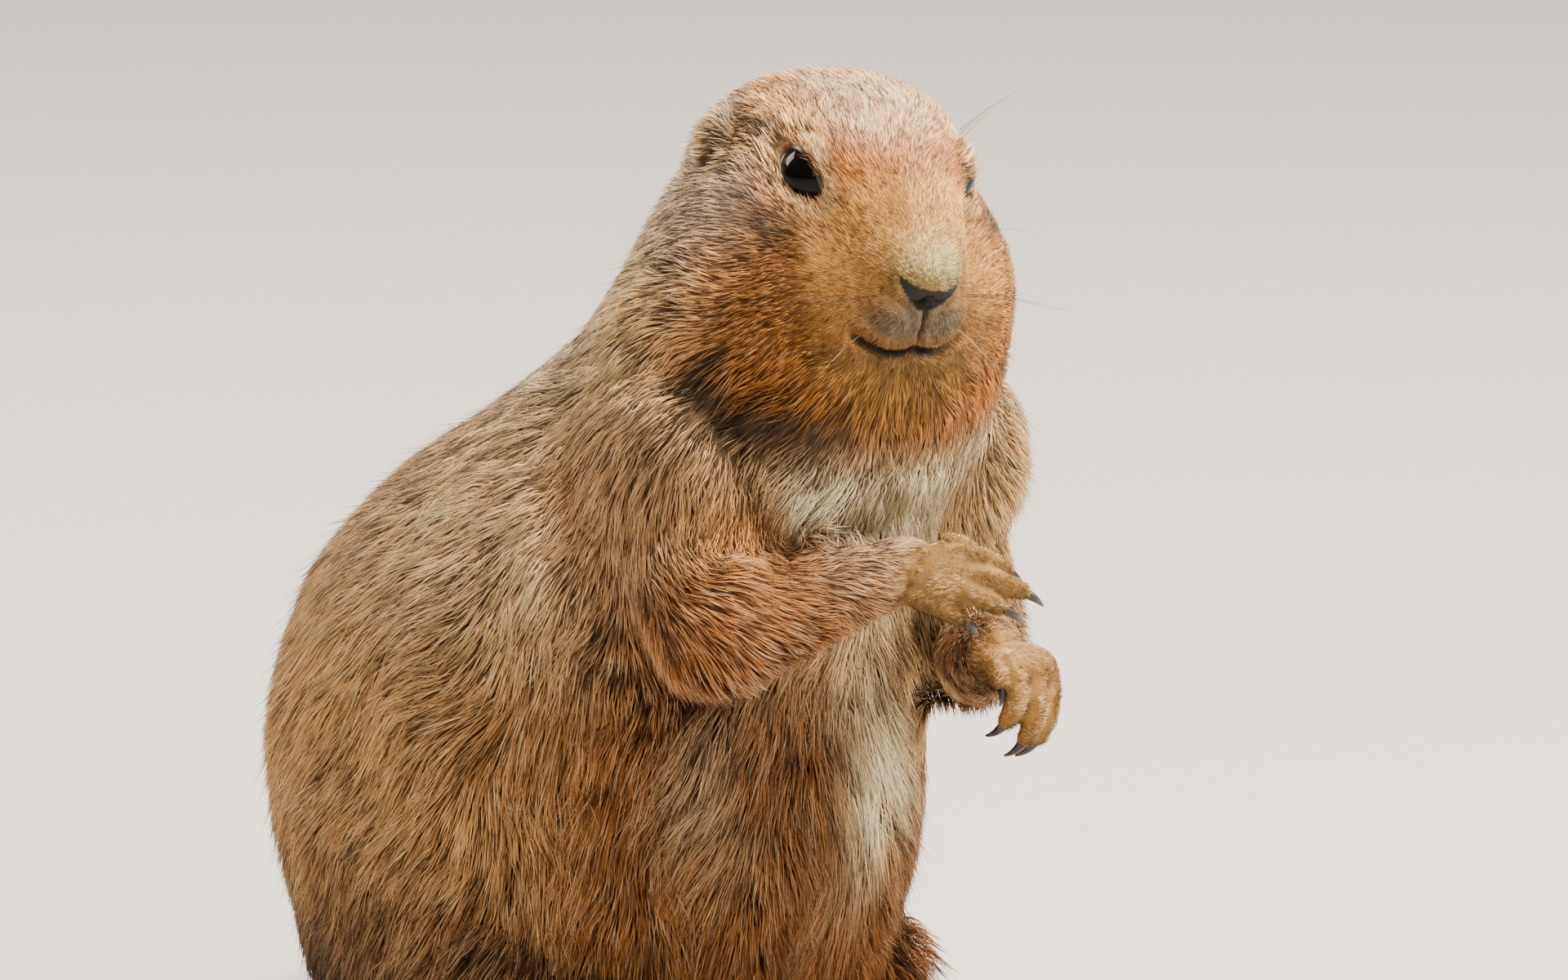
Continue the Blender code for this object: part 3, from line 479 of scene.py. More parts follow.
def footForms(side):
    out = math.radians(feet["turnedOut"]) * side
    along = np.array((math.sin(out), -math.cos(out), 0.0)) * unit
    across = np.array((math.cos(out), math.sin(out), 0.0)) * side * unit
    rise = np.array((0.0, 0.0, unit))
    heel = spot(side * feet["heel"][0], feet["heel"][1], 0.0)
    ballOfFoot = heel + along * feet["ball"]
    places = (heel, heel + along * feet["middle"], ballOfFoot)
    sole = [place + rise * height for place, height in zip(places, feet["heights"])]
    forms = [
        tube(sole, np.array(feet["radii"]) * unit * underCoat),
        ball(sole[0], np.array(feet["heelRadii"]) * unit * underCoat),
        ball(ballOfFoot + rise * feet["toeHeights"][0], np.array(feet["ballRadii"]) * unit * underCoat),
    ]
    nails, nail = [], feet["claw"]
    radii = np.array(feet["toeRadii"]) * unit * underCoat
    for number, (place, start, splay, length) in enumerate(feet["toes"], start=1):
        heading = turned(along, (0, 0, 1), side * splay)
        base = ballOfFoot + across * place + along * (start + feet["toeStart"])
        bends = zip((0, 0.5, 1), feet["toeHeights"])
        line = [base + heading * length * share + rise * high for share, high in bends]
        forms.append(tube(line, radii))
        forms.append(ball(line[-1], [radii[-1]] * 3, None, 8, 14))
        level = unitRows(np.cross(heading, -rise))
        root = line[-1] + heading * nail["ahead"] + rise * nail["above"]
        nails.append((number, root, level, nail["bend"], unitRows(heading), nail["length"], nail["radius"]))
    return forms, nails


def trunkForms():
    # level rings of the trunk and upright rings of the skull, with balls and tubes for the limbs
    around = np.arange(trunk["around"]) / trunk["around"] * 2 * math.pi
    x, y = superRing(around, trunk["squareness"])
    up, forward, halfWidth, halfDepth = smoothRows(trunk["rows"], 3).T[:, :, None]
    forms = [closedGrid(spot(halfWidth * x, forward + halfDepth * y, up + 0 * x))]
    forward, halfWidth, top, widest, bottom = smoothRows(skull["rows"], 2).T[:, :, None]
    upper, lower = superRing(around, skull["crownSquareness"]), superRing(around, trunk["squareness"])
    above = np.sin(around) > 0
    x, z = np.where(above, upper[0], lower[0]), np.where(above, upper[1], lower[1])
    reach = np.where(z > 0, top - widest, widest - bottom)
    forms.append(closedGrid(headSpot(halfWidth * x, forward + 0 * x, widest + z * reach)))
    for sideName, side in sideSigns.items():
        shoulder, elbow, wrist = (spot(*joint) for joint in arms[sideName]["joints"])
        radii = np.array(arms[sideName]["radii"]) * unit
        forms.append(ball(shoulder, np.array(arms["shoulder"]) * unit))
        forms.append(tube((shoulder, elbow), radii[:2]))
        forms.append(ball(elbow, [radii[1]] * 3))
        forms.append(tube((elbow, wrist), radii[1:]))
        place, size = legs["thigh"]
        forms.append(ball(spot(side * place[0], *place[1:]), np.array(size) * unit))
        shin = [spot(side * p[0], *p[1:]) for p in legs["shin"]]
        shinRadii = np.array(legs["shinRadii"]) * unit
        forms += [ball(p, [r] * 3) for p, r in zip(shin, shinRadii)] + [tube(shin, shinRadii)]
        place, size = skull["cheek"]
        forms.append(ball(headSpot(side * place[0], *place[1:]), np.array(size) * unit, headTurn))
    tailPoints = spot(*np.array(tail["points"]).T)
    forms.append(tube(tailPoints, np.array(tail["radii"]) * unit))
    forms.append(ball(tailPoints[-1], [tail["radii"][-1] * unit] * 3))
    return forms


def nearLine(points, start, end):
    # distance from each point to a straight piece, and the share along it
    run = np.array(end, float) - np.array(start, float)
    share = np.clip((points - start) @ run / (run @ run), 0, 1)
    return np.linalg.norm(points - (np.array(start) + share[:, None] * run), axis=1), share


def zonesOf(points):
    # where each point lies: soft masks from 0 to 1 for the parts of the body, in drawing units
    b, h = bodyUnits(points), headUnits(points)
    left, forward, up = b.T
    zone = {"b": b, "h": h}
    zone["head"] = ramp(-56, -34, h[:, 2] + 0.12 * h[:, 1])
    zone["fromNose"] = np.linalg.norm(h - np.array(face["noseTip"]), axis=1)
    zone["face"] = zone["head"] * (1 - ramp(20, 66, zone["fromNose"]))
    centre = np.interp(up, [row[0] for row in trunk["rows"]], [row[1] for row in trunk["rows"]])
    turn = np.degrees(np.arctan2(np.abs(left), forward - centre))
    zone["turn"] = turn
    zone["front"] = 1 - ramp(42, 88, turn)
    zone["back"] = ramp(105, 150, turn)
    arm, forearm, hand, share = (np.zeros(len(points)) for _ in range(4))
    for sideName in sideSigns:
        shoulder, elbow, wrist = (np.array(joint) for joint in arms[sideName]["joints"])
        far, _ = nearLine(b, shoulder, elbow)
        near, along = nearLine(b, elbow, wrist)
        radius = arms[sideName]["radii"][1] * (1 - along) + arms[sideName]["radii"][2] * along
        forearmHere = 1 - ramp(1.05, 1.6, near / radius)
        onward = np.array(hands[sideName]["along"])
        ahead = (b - wrist) @ (onward / np.linalg.norm(onward))
        knuckles = wrist + onward * 14
        close = np.minimum(
            nearLine(b, wrist, knuckles * 2 - wrist)[0],
            nearLine(b, knuckles, knuckles + np.array((0.0, 6.0, -32.0)))[0] + 4,
        )
        handHere = ramp(-4, 5, ahead) * (1 - ramp(19, 26, close))
        arm = np.maximum(arm, 1 - ramp(20, 30, far))
        share = np.where(forearmHere > forearm, along, share)
        forearm = np.maximum(forearm, forearmHere)
        hand = np.maximum(hand, handHere)
    zone["arm"], zone["forearm"], zone["hand"], zone["armShare"] = arm, forearm, hand, share
    zone["foot"] = (1 - ramp(11, 19, up)) * ramp(44, 56, forward) * ramp(12, 20, np.abs(left))
    line = tail["points"][1:]
    tailAway = np.min([nearLine(b, p, q)[0] for p, q in zip(line, line[1:])], axis=0)
    zone["tail"] = 1 - ramp(12, 22, tailAway)
    return zone


depths = {  # how far the coat stands over the skin, in millimetres
    "body": 4.0,
    "moreInFront": 0.6,
    "lessAbove": 0.6,
    "arm": 3.2,
    "elbow": 2.6,
    "lessAtWrist": 1.5,
    "nose": 0.75,
    "moreBehindNose": 2.4,
    "lessOnCrown": 0.7,
    "tail": 3.0,
    "handAndFoot": 0.35,
}


def blended(value, other, share):
    return value * (1 - share) + other * share


def coatDepth(zone):
    # the body's depth, gone over to each part's own where that part is
    forearm = depths["elbow"] - depths["lessAtWrist"] * zone["armShare"]
    onHead = depths["nose"] + depths["moreBehindNose"] * ramp(22, 72, zone["fromNose"])
    crown = ramp(5, 20, zone["h"][:, 2])
    onHead = onHead - depths["lessOnCrown"] * crown * ramp(30, 60, zone["fromNose"])
    depth = depths["body"] + depths["moreInFront"] * zone["front"]
    depth = depth - depths["lessAbove"] * ramp(150, 200, zone["b"][:, 2])
    depth = blended(depth, depths["arm"], zone["arm"])
    depth = blended(depth, forearm, zone["forearm"])
    depth = blended(depth, onHead, zone["head"])
    depth = blended(depth, depths["tail"], zone["tail"])
    thin = depths["handAndFoot"] * np.maximum(zone["hand"], zone["foot"])
    return depth * (1 - zone["hand"]) * (1 - zone["foot"]) + thin


def almond(angle, side):
    # the edge between the lids: an ellipse with its own heights above and below, narrow towards the nose
    length, over, under = eyeShape["opening"]
    noseward = -side * np.cos(angle)
    pinch = 1 - 0.42 * np.clip(noseward, 0, 1) ** 2.2 - 0.22 * np.clip(-noseward, 0, 1) ** 4
    height = np.where(np.sin(angle) > 0, over, under) * np.sin(angle) * pinch
    return length * np.cos(angle), height + eyeShape["lift"]


def almondShare(q, side):
    # 1 on the edge of the opening, less inside
    x, z = q[:, 0], q[:, 2] - eyeShape["lift"]
    length, over, under = eyeShape["opening"]
    angle = np.arctan2(z / np.where(z > 0, over, under), x / length)
    edgeX, edgeZ = almond(angle, side)
    return np.hypot(x, z) / np.maximum(np.hypot(edgeX, edgeZ - eyeShape["lift"]), 1e-6)


def eyeUnits(points, side):
    return (points - eyeCentre(side)) @ eyeTurn(side) / unit


def mouthLevel(h):
    # height over the line of the closed mouth, and the share of the way from its middle to its corner
    around = np.degrees(np.arctan2(h[:, 0], h[:, 1] - mouth["middle"]))
    share = np.abs(around) / mouth["spread"]
    sag = mouth["sag"] * np.sin(math.pi * np.clip(share, 0, 1)) - mouth["rise"] * share**2
    return h[:, 2] - (mouth["level"] - sag), share


# how far the face moves in or out, in drawing units: centre in the head's axes, both sides, radii, distance
faceMoves = {
    "noseCap": ((0.0, 43.5, -8.0), (7.0, 5.0, 4.6), 1.3),
    "noseBand": ((0.0, 44.0, -15.2), (6.0, 5.0, 2.2), -1.7),
    "noseSide": ((9.6, 39.5, -10.5), (2.2, 5.0, 5.0), -0.9),
    "lipPad": ((5.4, 41.0, -20.6), (4.2, 5.0, 3.4), 1.3),
    "underLip": ((0.0, 40.0, -28.6), (7.0, 5.0, 2.0), -0.8),
    "cheekCrease": ((18.5, 28.0, -12.0), (5.0, 6.0, 12.0), -2.8),
    "cheekFull": ((28.0, 10.0, -19.0), (11.0, 10.0, 11.0), 1.6),
    "tearHollow": ((18.5, 24.0, 0.5), (4.0, 5.0, 4.0), -0.7),
    "templeHollow": ((25.0, -2.0, 6.0), (4.0, 7.0, 4.5), -1.2),
    "browRidge": ((17.0, 15.0, 14.5), (6.0, 8.0, 3.5), 0.2),
    "bridge": ((0.0, 33.0, 4.0), (7.0, 9.0, 6.0), 0.5),
}
grooves = {"mouthDepth": 2.8, "mouthHalf": 1.2, "lipRise": 0.7, "philtrum": 1.3, "philtrumHalf": 0.8}


def sculpt(points, normals):
    # the face's swellings and hollows, the line of the mouth, the groove over it, eye sockets, ear cups
    points = points.copy()
    h = headUnits(points)
    onHead = h[:, 2] > -45
    mirrored = np.column_stack((np.abs(h[:, 0]), h[:, 1:]))
    push = sum(hump(mirrored, centre, radii) * reach for centre, radii, reach in faceMoves.values())
    above, share = mouthLevel(h)
    ahead = ramp(22, 30, h[:, 1])
    line = np.exp(-((above / grooves["mouthHalf"]) ** 2)) * (1 - ramp(0.85, 1.05, share)) * ahead
    lips = np.exp(-(((above - 2.4) / 1.5) ** 2)) + 0.8 * np.exp(-(((above + 2.4) / 1.5) ** 2))
    lips = lips * (1 - ramp(0.7, 1.1, share)) * ahead
    split = np.exp(-((h[:, 0] / grooves["philtrumHalf"]) ** 2)) * ramp(34, 38, h[:, 1])
    split = split * ramp(-26, -24, h[:, 2]) * (1 - ramp(-18, -16, h[:, 2]))
    push = push + grooves["lipRise"] * lips - grooves["mouthDepth"] * line - grooves["philtrum"] * split
    points += normals * (push * onHead)[:, None] * unit
    for side in sideSigns.values():
        q = eyeUnits(points, side)
        share = almondShare(q, side)
        near = (q[:, 1] < 0) & (np.linalg.norm(q, axis=1) < 15)
        inside = near & (share < 1.12)
        q[inside, 1] = np.maximum(q[inside, 1], -0.35 * eyeShape["radius"])
        lid = near & (share >= 1.12) & (share < 1.7)
        reach = np.linalg.norm(q, axis=1, keepdims=True)
        held = q / np.maximum(reach, 1e-6) * np.maximum(reach, eyeShape["radius"] + 0.35)
        q[lid] = held[lid]
        moved = inside | lid
        points[moved] = (q[moved] * unit) @ eyeTurn(side).T + eyeCentre(side)
        opens = way(side * ears["opens"][0], *ears["opens"][1:])
        cup = earUnits(points, side) * np.array((1.0, -1.0, 1.0))
        size = np.array(ears["cupRadii"])
        scaled, run = cup / size, opens / size
        k = (run**2).sum()
        half = scaled @ run / k
        inner = half**2 - ((scaled**2).sum(1) - 1) / k
        deeper = half + np.sqrt(np.maximum(inner, 0))
        hollow = (inner > 0) & (deeper > 0) & (np.abs(half) < 7.5)
        shift = np.where(hollow, deeper, 0)[:, None] * -opens
        points += (shift @ headTurn.T) * unit
    points[:, 2] = np.maximum(points[:, 2], 0.0003)
    return points


def earUnits(points, side):
    # from the middle of the ear's cup, left, forward, up in the head's axes
    opens = np.array((side * ears["opens"][0], *ears["opens"][1:]))
    return headUnits(points) - np.array((side * ears["place"][0], *ears["place"][1:])) - opens * ears["cup"]


def normalsOf(points, faces):
    # a point's normal: the sum of the normals of its faces, each as long as the face is large
    a, b, c = (points[faces[:, k]] for k in range(3))
    across = np.cross(b - a, c - a)
    total = np.zeros_like(points)
    for k in range(3):
        for axis in range(3):
            total[:, axis] += np.bincount(faces[:, k], across[:, axis], len(points))
    return unitRows(total)


def makeSkin():
    points, normals, faces = fused(trunkForms(), skinSet["trunkVoxel"], skinSet["trunkRounds"])
    points = points - normals * coatDepth(zonesOf(points))[:, None] * mm
    forms = [(points, faces)]
    for side in sideSigns.values():
        for key in ("orbit", "whiskerPad"):
            place, size = face[key]
            forms.append(ball(headSpot(side * place[0], *place[1:]), np.array(size) * unit, headTurn))
        place = headSpot(side * ears["place"][0], *ears["place"][1:])
        forms.append(ball(place, (np.array(ears["radii"]) - 0.5) * unit, headTurn))
    for key in ("chin", "nosePad"):
        place, size = face[key]
        forms.append(ball(headSpot(*place), np.array(size) * unit, headTurn))
    nails = {}
    for sideName, side in sideSigns.items():
        handParts, handNails = handForms(sideName)
        footParts, footNails = footForms(side)
        forms += handParts + footParts
        nails[sideName] = (handNails, footNails)
    points, normals, faces = fused(forms, skinSet["voxel"], skinSet["rounds"])
    print("skin fused:", len(points), "points", len(faces), "triangles")
    points = sculpt(points, normals)
    thinning = meshPiece("thinning", points, faces)
    zone = zonesOf(points)
    fine = np.maximum(np.maximum(zone["face"], zone["hand"]), 0.6 * zone["foot"])
    group = thinning.vertex_groups.new(name="fine")
    for level in np.unique(np.round(fine, 1)):
        chosen = np.flatnonzero(np.round(fine, 1) == level)
        group.add(chosen.tolist(), float(level), "REPLACE")
    thin = thinning.modifiers.new("thin", "DECIMATE")
    thin.ratio = min(1.0, skinSet["triangles"] / len(faces))
    thin.vertex_group = group.name
    thin.invert_vertex_group = True
    thin.vertex_group_factor = 0.5
    points, normals, faces = meshArrays(thinning)
    points, faces = turnedOut(points, faces)
    return points, normalsOf(points, faces), faces, nails


skinPoints, skinNormals, skinFaces, nailPlans = makeSkin()
print("skin:", len(skinFaces), "triangles")


# colours: sRGB hex values turned linear

def linear(hexCode):
    srgb = np.array([int(hexCode[k : k + 2], 16) for k in (0, 2, 4)]) / 255
    return np.where(srgb <= 0.04045, srgb / 12.92, ((srgb + 0.055) / 1.055) ** 2.4)


coatColours = {
    "back": "ad8557",
    "side": "cd985d",
    # rumpShaded and low: partly the lower coat's own darker red, partly painted shade low on the body
    "rumpShaded": "432009",
    "low": "1b0601",
    "belly": "8e5725",
    "bellyPale": "f0d6a8",
    "chest": "f4deb4",
    "chestWarmLit": "f1c387",
    "shoulder": "e5bc8b",
    "armTopLit": "e09a4e",
    "arm": "985821",
    "armUnderShade": "4d1e03",
    "hand": "b17d36",
    "neck": "d7b481",
    "silver": "d5c3a6",
    "crown": "e1974e",
    "crownPale": "e3bb8c",
    "forehead": "b3550e",
    "ear": "dda465",
    "cheekDark": "220a01",
    "cheekGrey": "c0a485",
    "cheek": "bd7733",
    "muzzle": "dc953b",
    "nosePad": "d4b66f",
    "lip": "898978",
    "chin": "af803c",
    "eyeRing": "e0af6e",
    # collarShade and crease: painted shade in the coat's partings and folds
    "collarShade": "241404",
    "crease": "40280f",
    "tailTip": "241a14",
    "darkHair": "1c120b",
    "paleHair": "ffe0b4",
}
hue = {name: linear(code) for name, code in coatColours.items()}
# painted shade: dark lines in the folds where the coat parts: the crease under the cheek, the one behind the
# eye and the thigh's fold
shadedPartings = {
    "collarShade": (((44.6, 73.0, 178.0), (43.0, 79.0, 173.0), (37.0, 88.0, 170.0), (26.0, 95.0, 170.0)), 5.6),
    "armpit": (((43.0, 76.0, 172.0), (41.0, 79.0, 158.0), (38.0, 81.0, 152.0)), 4.0),
    "thigh": (((66.0, 24.0, 46.0), (55.0, 38.0, 40.0), (40.0, 49.0, 33.0)), 4.6),
}
# painted shade in the fold of the fur in front of the ear
earCreaseShade = (((24.5, -15.0, 7.5), (23.5, -6.0, 10.0), (23.0, 2.5, 9.6)), 1.9)  # in the head's axes


def nearLines(points, line, width):
    # 1 on a line through the given places, the same on both sides of the body, falling off over the width
    away = np.column_stack((np.abs(points[:, 0]), points[:, 1:]))
    nearest = np.min([nearLine(away, p, q)[0] for p, q in zip(line, line[1:])], axis=0)
    return np.exp(-((nearest / width) ** 2))


def markings(points, zone):
    # the coat's colour at each place: the same formula colours the skin and every tuft
    b, h = zone["b"], zone["h"]
    left, forward, up = b.T
    across = np.abs(left)
    broad = waves(points, 0.028, 5)
    fine = waves(points, 0.009, 6)
    colour = np.repeat(hue["side"][None], len(points), axis=0)

    def lay(name, share):
        nonlocal colour
        share = np.clip(share, 0, 1)[:, None]
        colour = colour * (1 - share) + hue[name] * share

    lay("back", zone["back"] * ramp(60, 150, up))
    lay("back", ramp(60, 95, zone["turn"]) * ramp(80, 165, up) * 0.6)
    # painted shade: the haunch and the lowest coat darker towards the ground, partly their own darker red
    lay("rumpShaded", (1 - ramp(20, 85, up)) * ramp(40, 80, zone["turn"]))
    lay("low", (1 - ramp(0, 42, up)) * 0.8)
    lay("belly", zone["front"] * (1 - ramp(105, 130, up)))
    flank = hump(np.stack((across, up), -1), (31.0, 87.0), (9.0, 17.0)) * (forward > 0)
    middle = hump(np.stack((left, up), -1), (8.0, 84.0), (13.0, 24.0)) * (forward > 0)
    lay("bellyPale", (0.9 * flank + 0.9 * middle) * (0.8 + 0.35 * broad))
    lay("shoulder", ramp(95, 140, up) * (1 - zone["back"]) * 0.8)
    lay("neck", ramp(150, 180, up) * (1 - 0.6 * zone["back"]))
    lay("silver", ramp(150, 185, up) * zone["back"] * 0.6)
    chest = zone["front"] * ramp(112, 138, up) * (1 - ramp(178, 196, up))
    lay("chest", chest * (1 - ramp(24, 44, np.abs(left - 2))) * (0.95 + 0.25 * broad))
    # painted light on the lit left side of the chest, partly its own warm tone
    lay("chestWarmLit", zone["front"] * ramp(120, 150, up) * ramp(20, 42, left) * 0.6)
    lay("arm", zone["arm"] * 0.5)
    lay("arm", zone["forearm"] * 0.8)
    # painted light: the far arm paler than the near one
    lay("chestWarmLit", zone["arm"] * (left > 0) * 0.65)
    # partly painted light: the top of the near upper arm paler, partly its own orange
    lay("armTopLit", hump(b, (-42.0, 79.0, 145.0), (13.0, 12.0, 12.0)) * 0.8)
    limbs = np.maximum(zone["forearm"], zone["arm"])
    # painted shade under the near arm and on the far forearm
    lay("armUnderShade", limbs * (1 - ramp(104, 122, up)) * (left < 0) * 0.85)
    lay("armUnderShade", zone["forearm"] * (left > 0) * 0.5)
    # the head
    x, ahead, over = np.abs(h[:, 0]), h[:, 1], h[:, 2]
    m = np.stack((x, ahead, over), -1)
    body, colour = colour, np.repeat(hue["cheek"][None], len(points), axis=0)
    lay("neck", ramp(40, 80, zone["fromNose"]))
    lay("silver", ramp(44, 78, zone["fromNose"]) * ramp(-34, -8, over) * 0.8)
    lay("forehead", ramp(0, 10, over) * (1 - ramp(34, 54, zone["fromNose"])) * 0.65)
    lay("crown", ramp(6, 16, over) * ramp(36, 52, zone["fromNose"]))
    lay("crownPale", hump(m * (1, 1, 0), (6.0, 2.0, 0.0), (9.0, 22.0, 1.0)) * ramp(8, 18, over) * 0.9)
    lay("ear", hump(m, (30.0, -13.0, 1.0), (8.0, 9.0, 9.0)) * 0.9)
    lay("cheekGrey", hump(m, (32.0, 2.0, -8.0), (12.0, 14.0, 13.0)) * 0.9)
    lay("cheekDark", hump(m, (27.5, 17.0, -6.5), (8.0, 10.0, 4.2)) * 0.95)
    lay("muzzle", (1 - ramp(22, 38, zone["fromNose"])) * 0.9)
    lay("chin", (1 - ramp(24, 34, zone["fromNose"])) * (1 - ramp(-30, -26, over)) * 0.9)
    lay("nosePad", hump(m, (0.0, 43.0, -7.0), (8.5, 8.0, 6.5)) * 1.3)
    lay("lip", hump(m, (5.0, 41.0, -20.0), (7.0, 6.0, 4.4)) * 1.2)
    for side in sideSigns.values():
        q = eyeUnits(points, side)
        ring = np.exp(-(((almondShare(q, side) - 1.6) / 0.3) ** 2)) * (q[:, 1] < 2)
        lay("eyeRing", ring * (np.linalg.norm(q, axis=1) < 18) * 0.8)
    # painted shade in the crease in front of the ear
    lay("crease", nearLines(h, *earCreaseShade) * 0.9)
    head = zone["head"][:, None]
    colour = body * (1 - head) + colour * head
    lay("hand", zone["hand"])
    lay("hand", zone["foot"] * 0.8)
    lay("side", zone["tail"] * 0.8)
    lay("tailTip", zone["tail"] * ramp(36, 50, left))
    # painted shade in the folds where the coat parts
    for line, width in shadedPartings.values():
        lay("collarShade", nearLines(b, line, width) * 0.95)
    return colour * (1 + 0.10 * broad + 0.07 * fine)[:, None]


# the lie and the length of the coat

def lieOf(zone, points, normals):
    # the way that hair points: away from the nose on the head, then down and back over the body
    b = zone["b"]
    left, forward, up = b.T
    down, backward = np.array((0.0, 0.0, -1.0)), np.array((0.0, 1.0, 0.0))
    lean = 0.25 + 0.45 * ramp(30, 90, up) + 0.35 * ramp(120, 190, up)
    outward = np.tanh(left / 12) * 0.35 * zone["front"]
    field = down + backward * (lean * (1 - zone["front"]))[:, None]
    field = unitRows(field + outward[:, None] * np.array((1.0, 0.0, 0.0)))

    def turn(share, direction):
        nonlocal field
        field = field * (1 - share[:, None]) + direction * share[:, None]

    for sideName, side in sideSigns.items():
        shoulder, elbow, wrist = arms[sideName]["joints"]
        alongUpper = way(*(np.array(elbow) - shoulder))
        alongFore = way(*(np.array(wrist) - elbow))
        same = left * side > 0
        turn(zone["arm"] * same * 0.35, alongUpper)
        near = nearLine(b, elbow, wrist)[0] < 26
        turn(zone["forearm"] * near * 0.85, alongFore * 0.75 + down * 0.45)
        near = np.linalg.norm(b - wrist, axis=1) < 46
        turn(zone["hand"] * near, way(*hands[sideName]["along"]))
    away = unitRows(points - headSpot(*face["noseTip"]))
    turn(zone["head"], unitRows(away + down * (0.25 * ramp(50, 75, zone["fromNose"]))[:, None]))
    turn(zone["foot"], np.array((0.0, -1.0, -0.1)))
    turn(zone["tail"], way(*(np.array(tail["points"][3]) - tail["points"][1])))
    return unitRows(field - (field * normals).sum(1)[:, None] * normals)


lengths = {  # of the hair, in millimetres
    "body": 12.5,
    "moreInFront": 1.5,
    "lessAbove": 2.0,
    "arm": 10.0,
    "elbow": 9.0,
    "lessAtWrist": 5.5,
    "nose": 1.5,
    "moreBehindNose": 6.5,
    "throat": 5.0,
    "crownShare": 0.4,
    "ear": ((29.0, -14.0, 1.0), (9.0, 9.0, 11.0)),  # where it is half as long, in the head's axes
    "earShare": 0.5,
    "tail": 10.0,
    "hand": 2.0,
    "foot": 2.4,
}


def coatLength(zone):
    # the body's length, gone over to each part's own where that part is
    over = zone["h"][:, 2]
    mirrored = np.column_stack((np.abs(zone["h"][:, 0]), zone["h"][:, 1:]))
    ear = np.clip(1.3 * hump(mirrored, *lengths["ear"]), 0, 1)
    forearm = lengths["elbow"] - lengths["lessAtWrist"] * zone["armShare"]
    onHead = lengths["nose"] + lengths["moreBehindNose"] * ramp(12, 70, zone["fromNose"])
    onHead = onHead * (1 - lengths["crownShare"] * ramp(4, 16, over))
    onHead = onHead + lengths["throat"] * (1 - ramp(-40, -27, over))
    onHead = onHead * (1 - lengths["earShare"] * ear)
    length = lengths["body"] + lengths["moreInFront"] * zone["front"]
    length = length - lengths["lessAbove"] * ramp(140, 190, zone["b"][:, 2])
    length = blended(length, lengths["arm"], zone["arm"])
    length = blended(length, forearm, zone["forearm"])
    length = blended(length, onHead, zone["head"])
    length = blended(length, lengths["tail"], zone["tail"])
    length = blended(length, lengths["hand"], zone["hand"])
    return blended(length, lengths["foot"], zone["foot"])


coat = {
    "bodyDensity": 2.1,  # tufts in a square millimetre
    "shortDensity": 12.0,
    "widths": ((1.2, 4.0, 12.0), (0.17, 0.24, 0.33)),  # hair's length against a tuft's width, in millimetres
    "shortLimit": 4.2,  # hair shorter than this is a plain spike
    "margin": 0.027,  # how far hair may stand out of the solids' box, as a share of its size
    "clump": 7,  # tufts that lean together
    "pull": (0.15, 0.32),  # how far short and long tufts lean to their clump's first
    "guard": {"share": 0.035, "longer": 1.45, "raised": 0.28, "thinner": 0.6},  # long stray hairs
    "rootDepth": 0.25,  # how far under the skin a tuft starts, in millimetres
    "floor": (0.0004, 0.0008, 0.0003),  # least height of a tuft's start, middle and tip
    "pieceTufts": 32000,
    "patch": 0.0015,  # half of a tuft's patch on the OFBake map
}
nose = {"level": -14.4, "rise": 0.072, "half": 2.9, "reach": 8.0}


def cupShare(points, side):
    # 1 on the edge of the ear's cup, less inside
    return np.linalg.norm(earUnits(points, side) / np.array(ears["cupRadii"]), axis=1)


def bareSkin(points, zone):
    # 1 where no hair grows: eyes, the line of the mouth, the nose leather, soles and the ground
    bald = (points[:, 2] < 0.0012).astype(float)
    for side in sideSigns.values():
        q = eyeUnits(points, side)
        onEye = (almondShare(q, side) < 1.2) & (q[:, 1] < 3) & (np.linalg.norm(q, axis=1) < 14)
        bald = np.maximum(bald, onEye)
        bald = np.maximum(bald, cupShare(points, side) < 1.05)
    h = zone["h"]
    above, share = mouthLevel(h)
    front = (h[:, 1] > 24) & (zone["head"] > 0.5)
    bald = np.maximum(bald, (np.abs(above) < 1.15 - 0.5 * share) & (share < 1.0) & front)
    groove = (np.abs(h[:, 0]) < 0.55) & (h[:, 2] < -15) & (h[:, 2] > -25) & (h[:, 1] > 34)
    bald = np.maximum(bald, groove)
    return np.maximum(bald, noseBand(h) > 0.5)


def noseBand(h):
    # 1 on the dark crescent under the nose's pad, which rises to both sides
    level = nose["level"] + nose["rise"] * h[:, 0] ** 2
    half = nose["half"] * (1 - 0.7 * np.clip(h[:, 0] / nose["reach"], -1, 1) ** 2)
    inside = (np.abs(h[:, 2] - level) < half) & (np.abs(h[:, 0]) < nose["reach"]) & (h[:, 1] > 34)
    return inside.astype(float)


def foldShadeOf(points, normals, faces):
    # how far the skin lies under the mean of a few rings of neighbours: 0 on flat skin, 1 in folds; it sets
    # the painted shade in the folds
    ends = np.vstack((faces[:, (0, 1)], faces[:, (1, 2)], faces[:, (2, 0)]))
    number = np.maximum(np.bincount(ends[:, 0], minlength=len(points)), 1)

    def mean(values):
        return np.bincount(ends[:, 0], values[ends[:, 1]], len(points)) / number

    centre = points
    for _ in range(6):
        centre = np.stack([mean(centre[:, axis]) for axis in range(3)], -1)
    depth = ((centre - points) * normals).sum(1) / mm
    return ramp(0.03, 0.28, mean(mean(depth)))


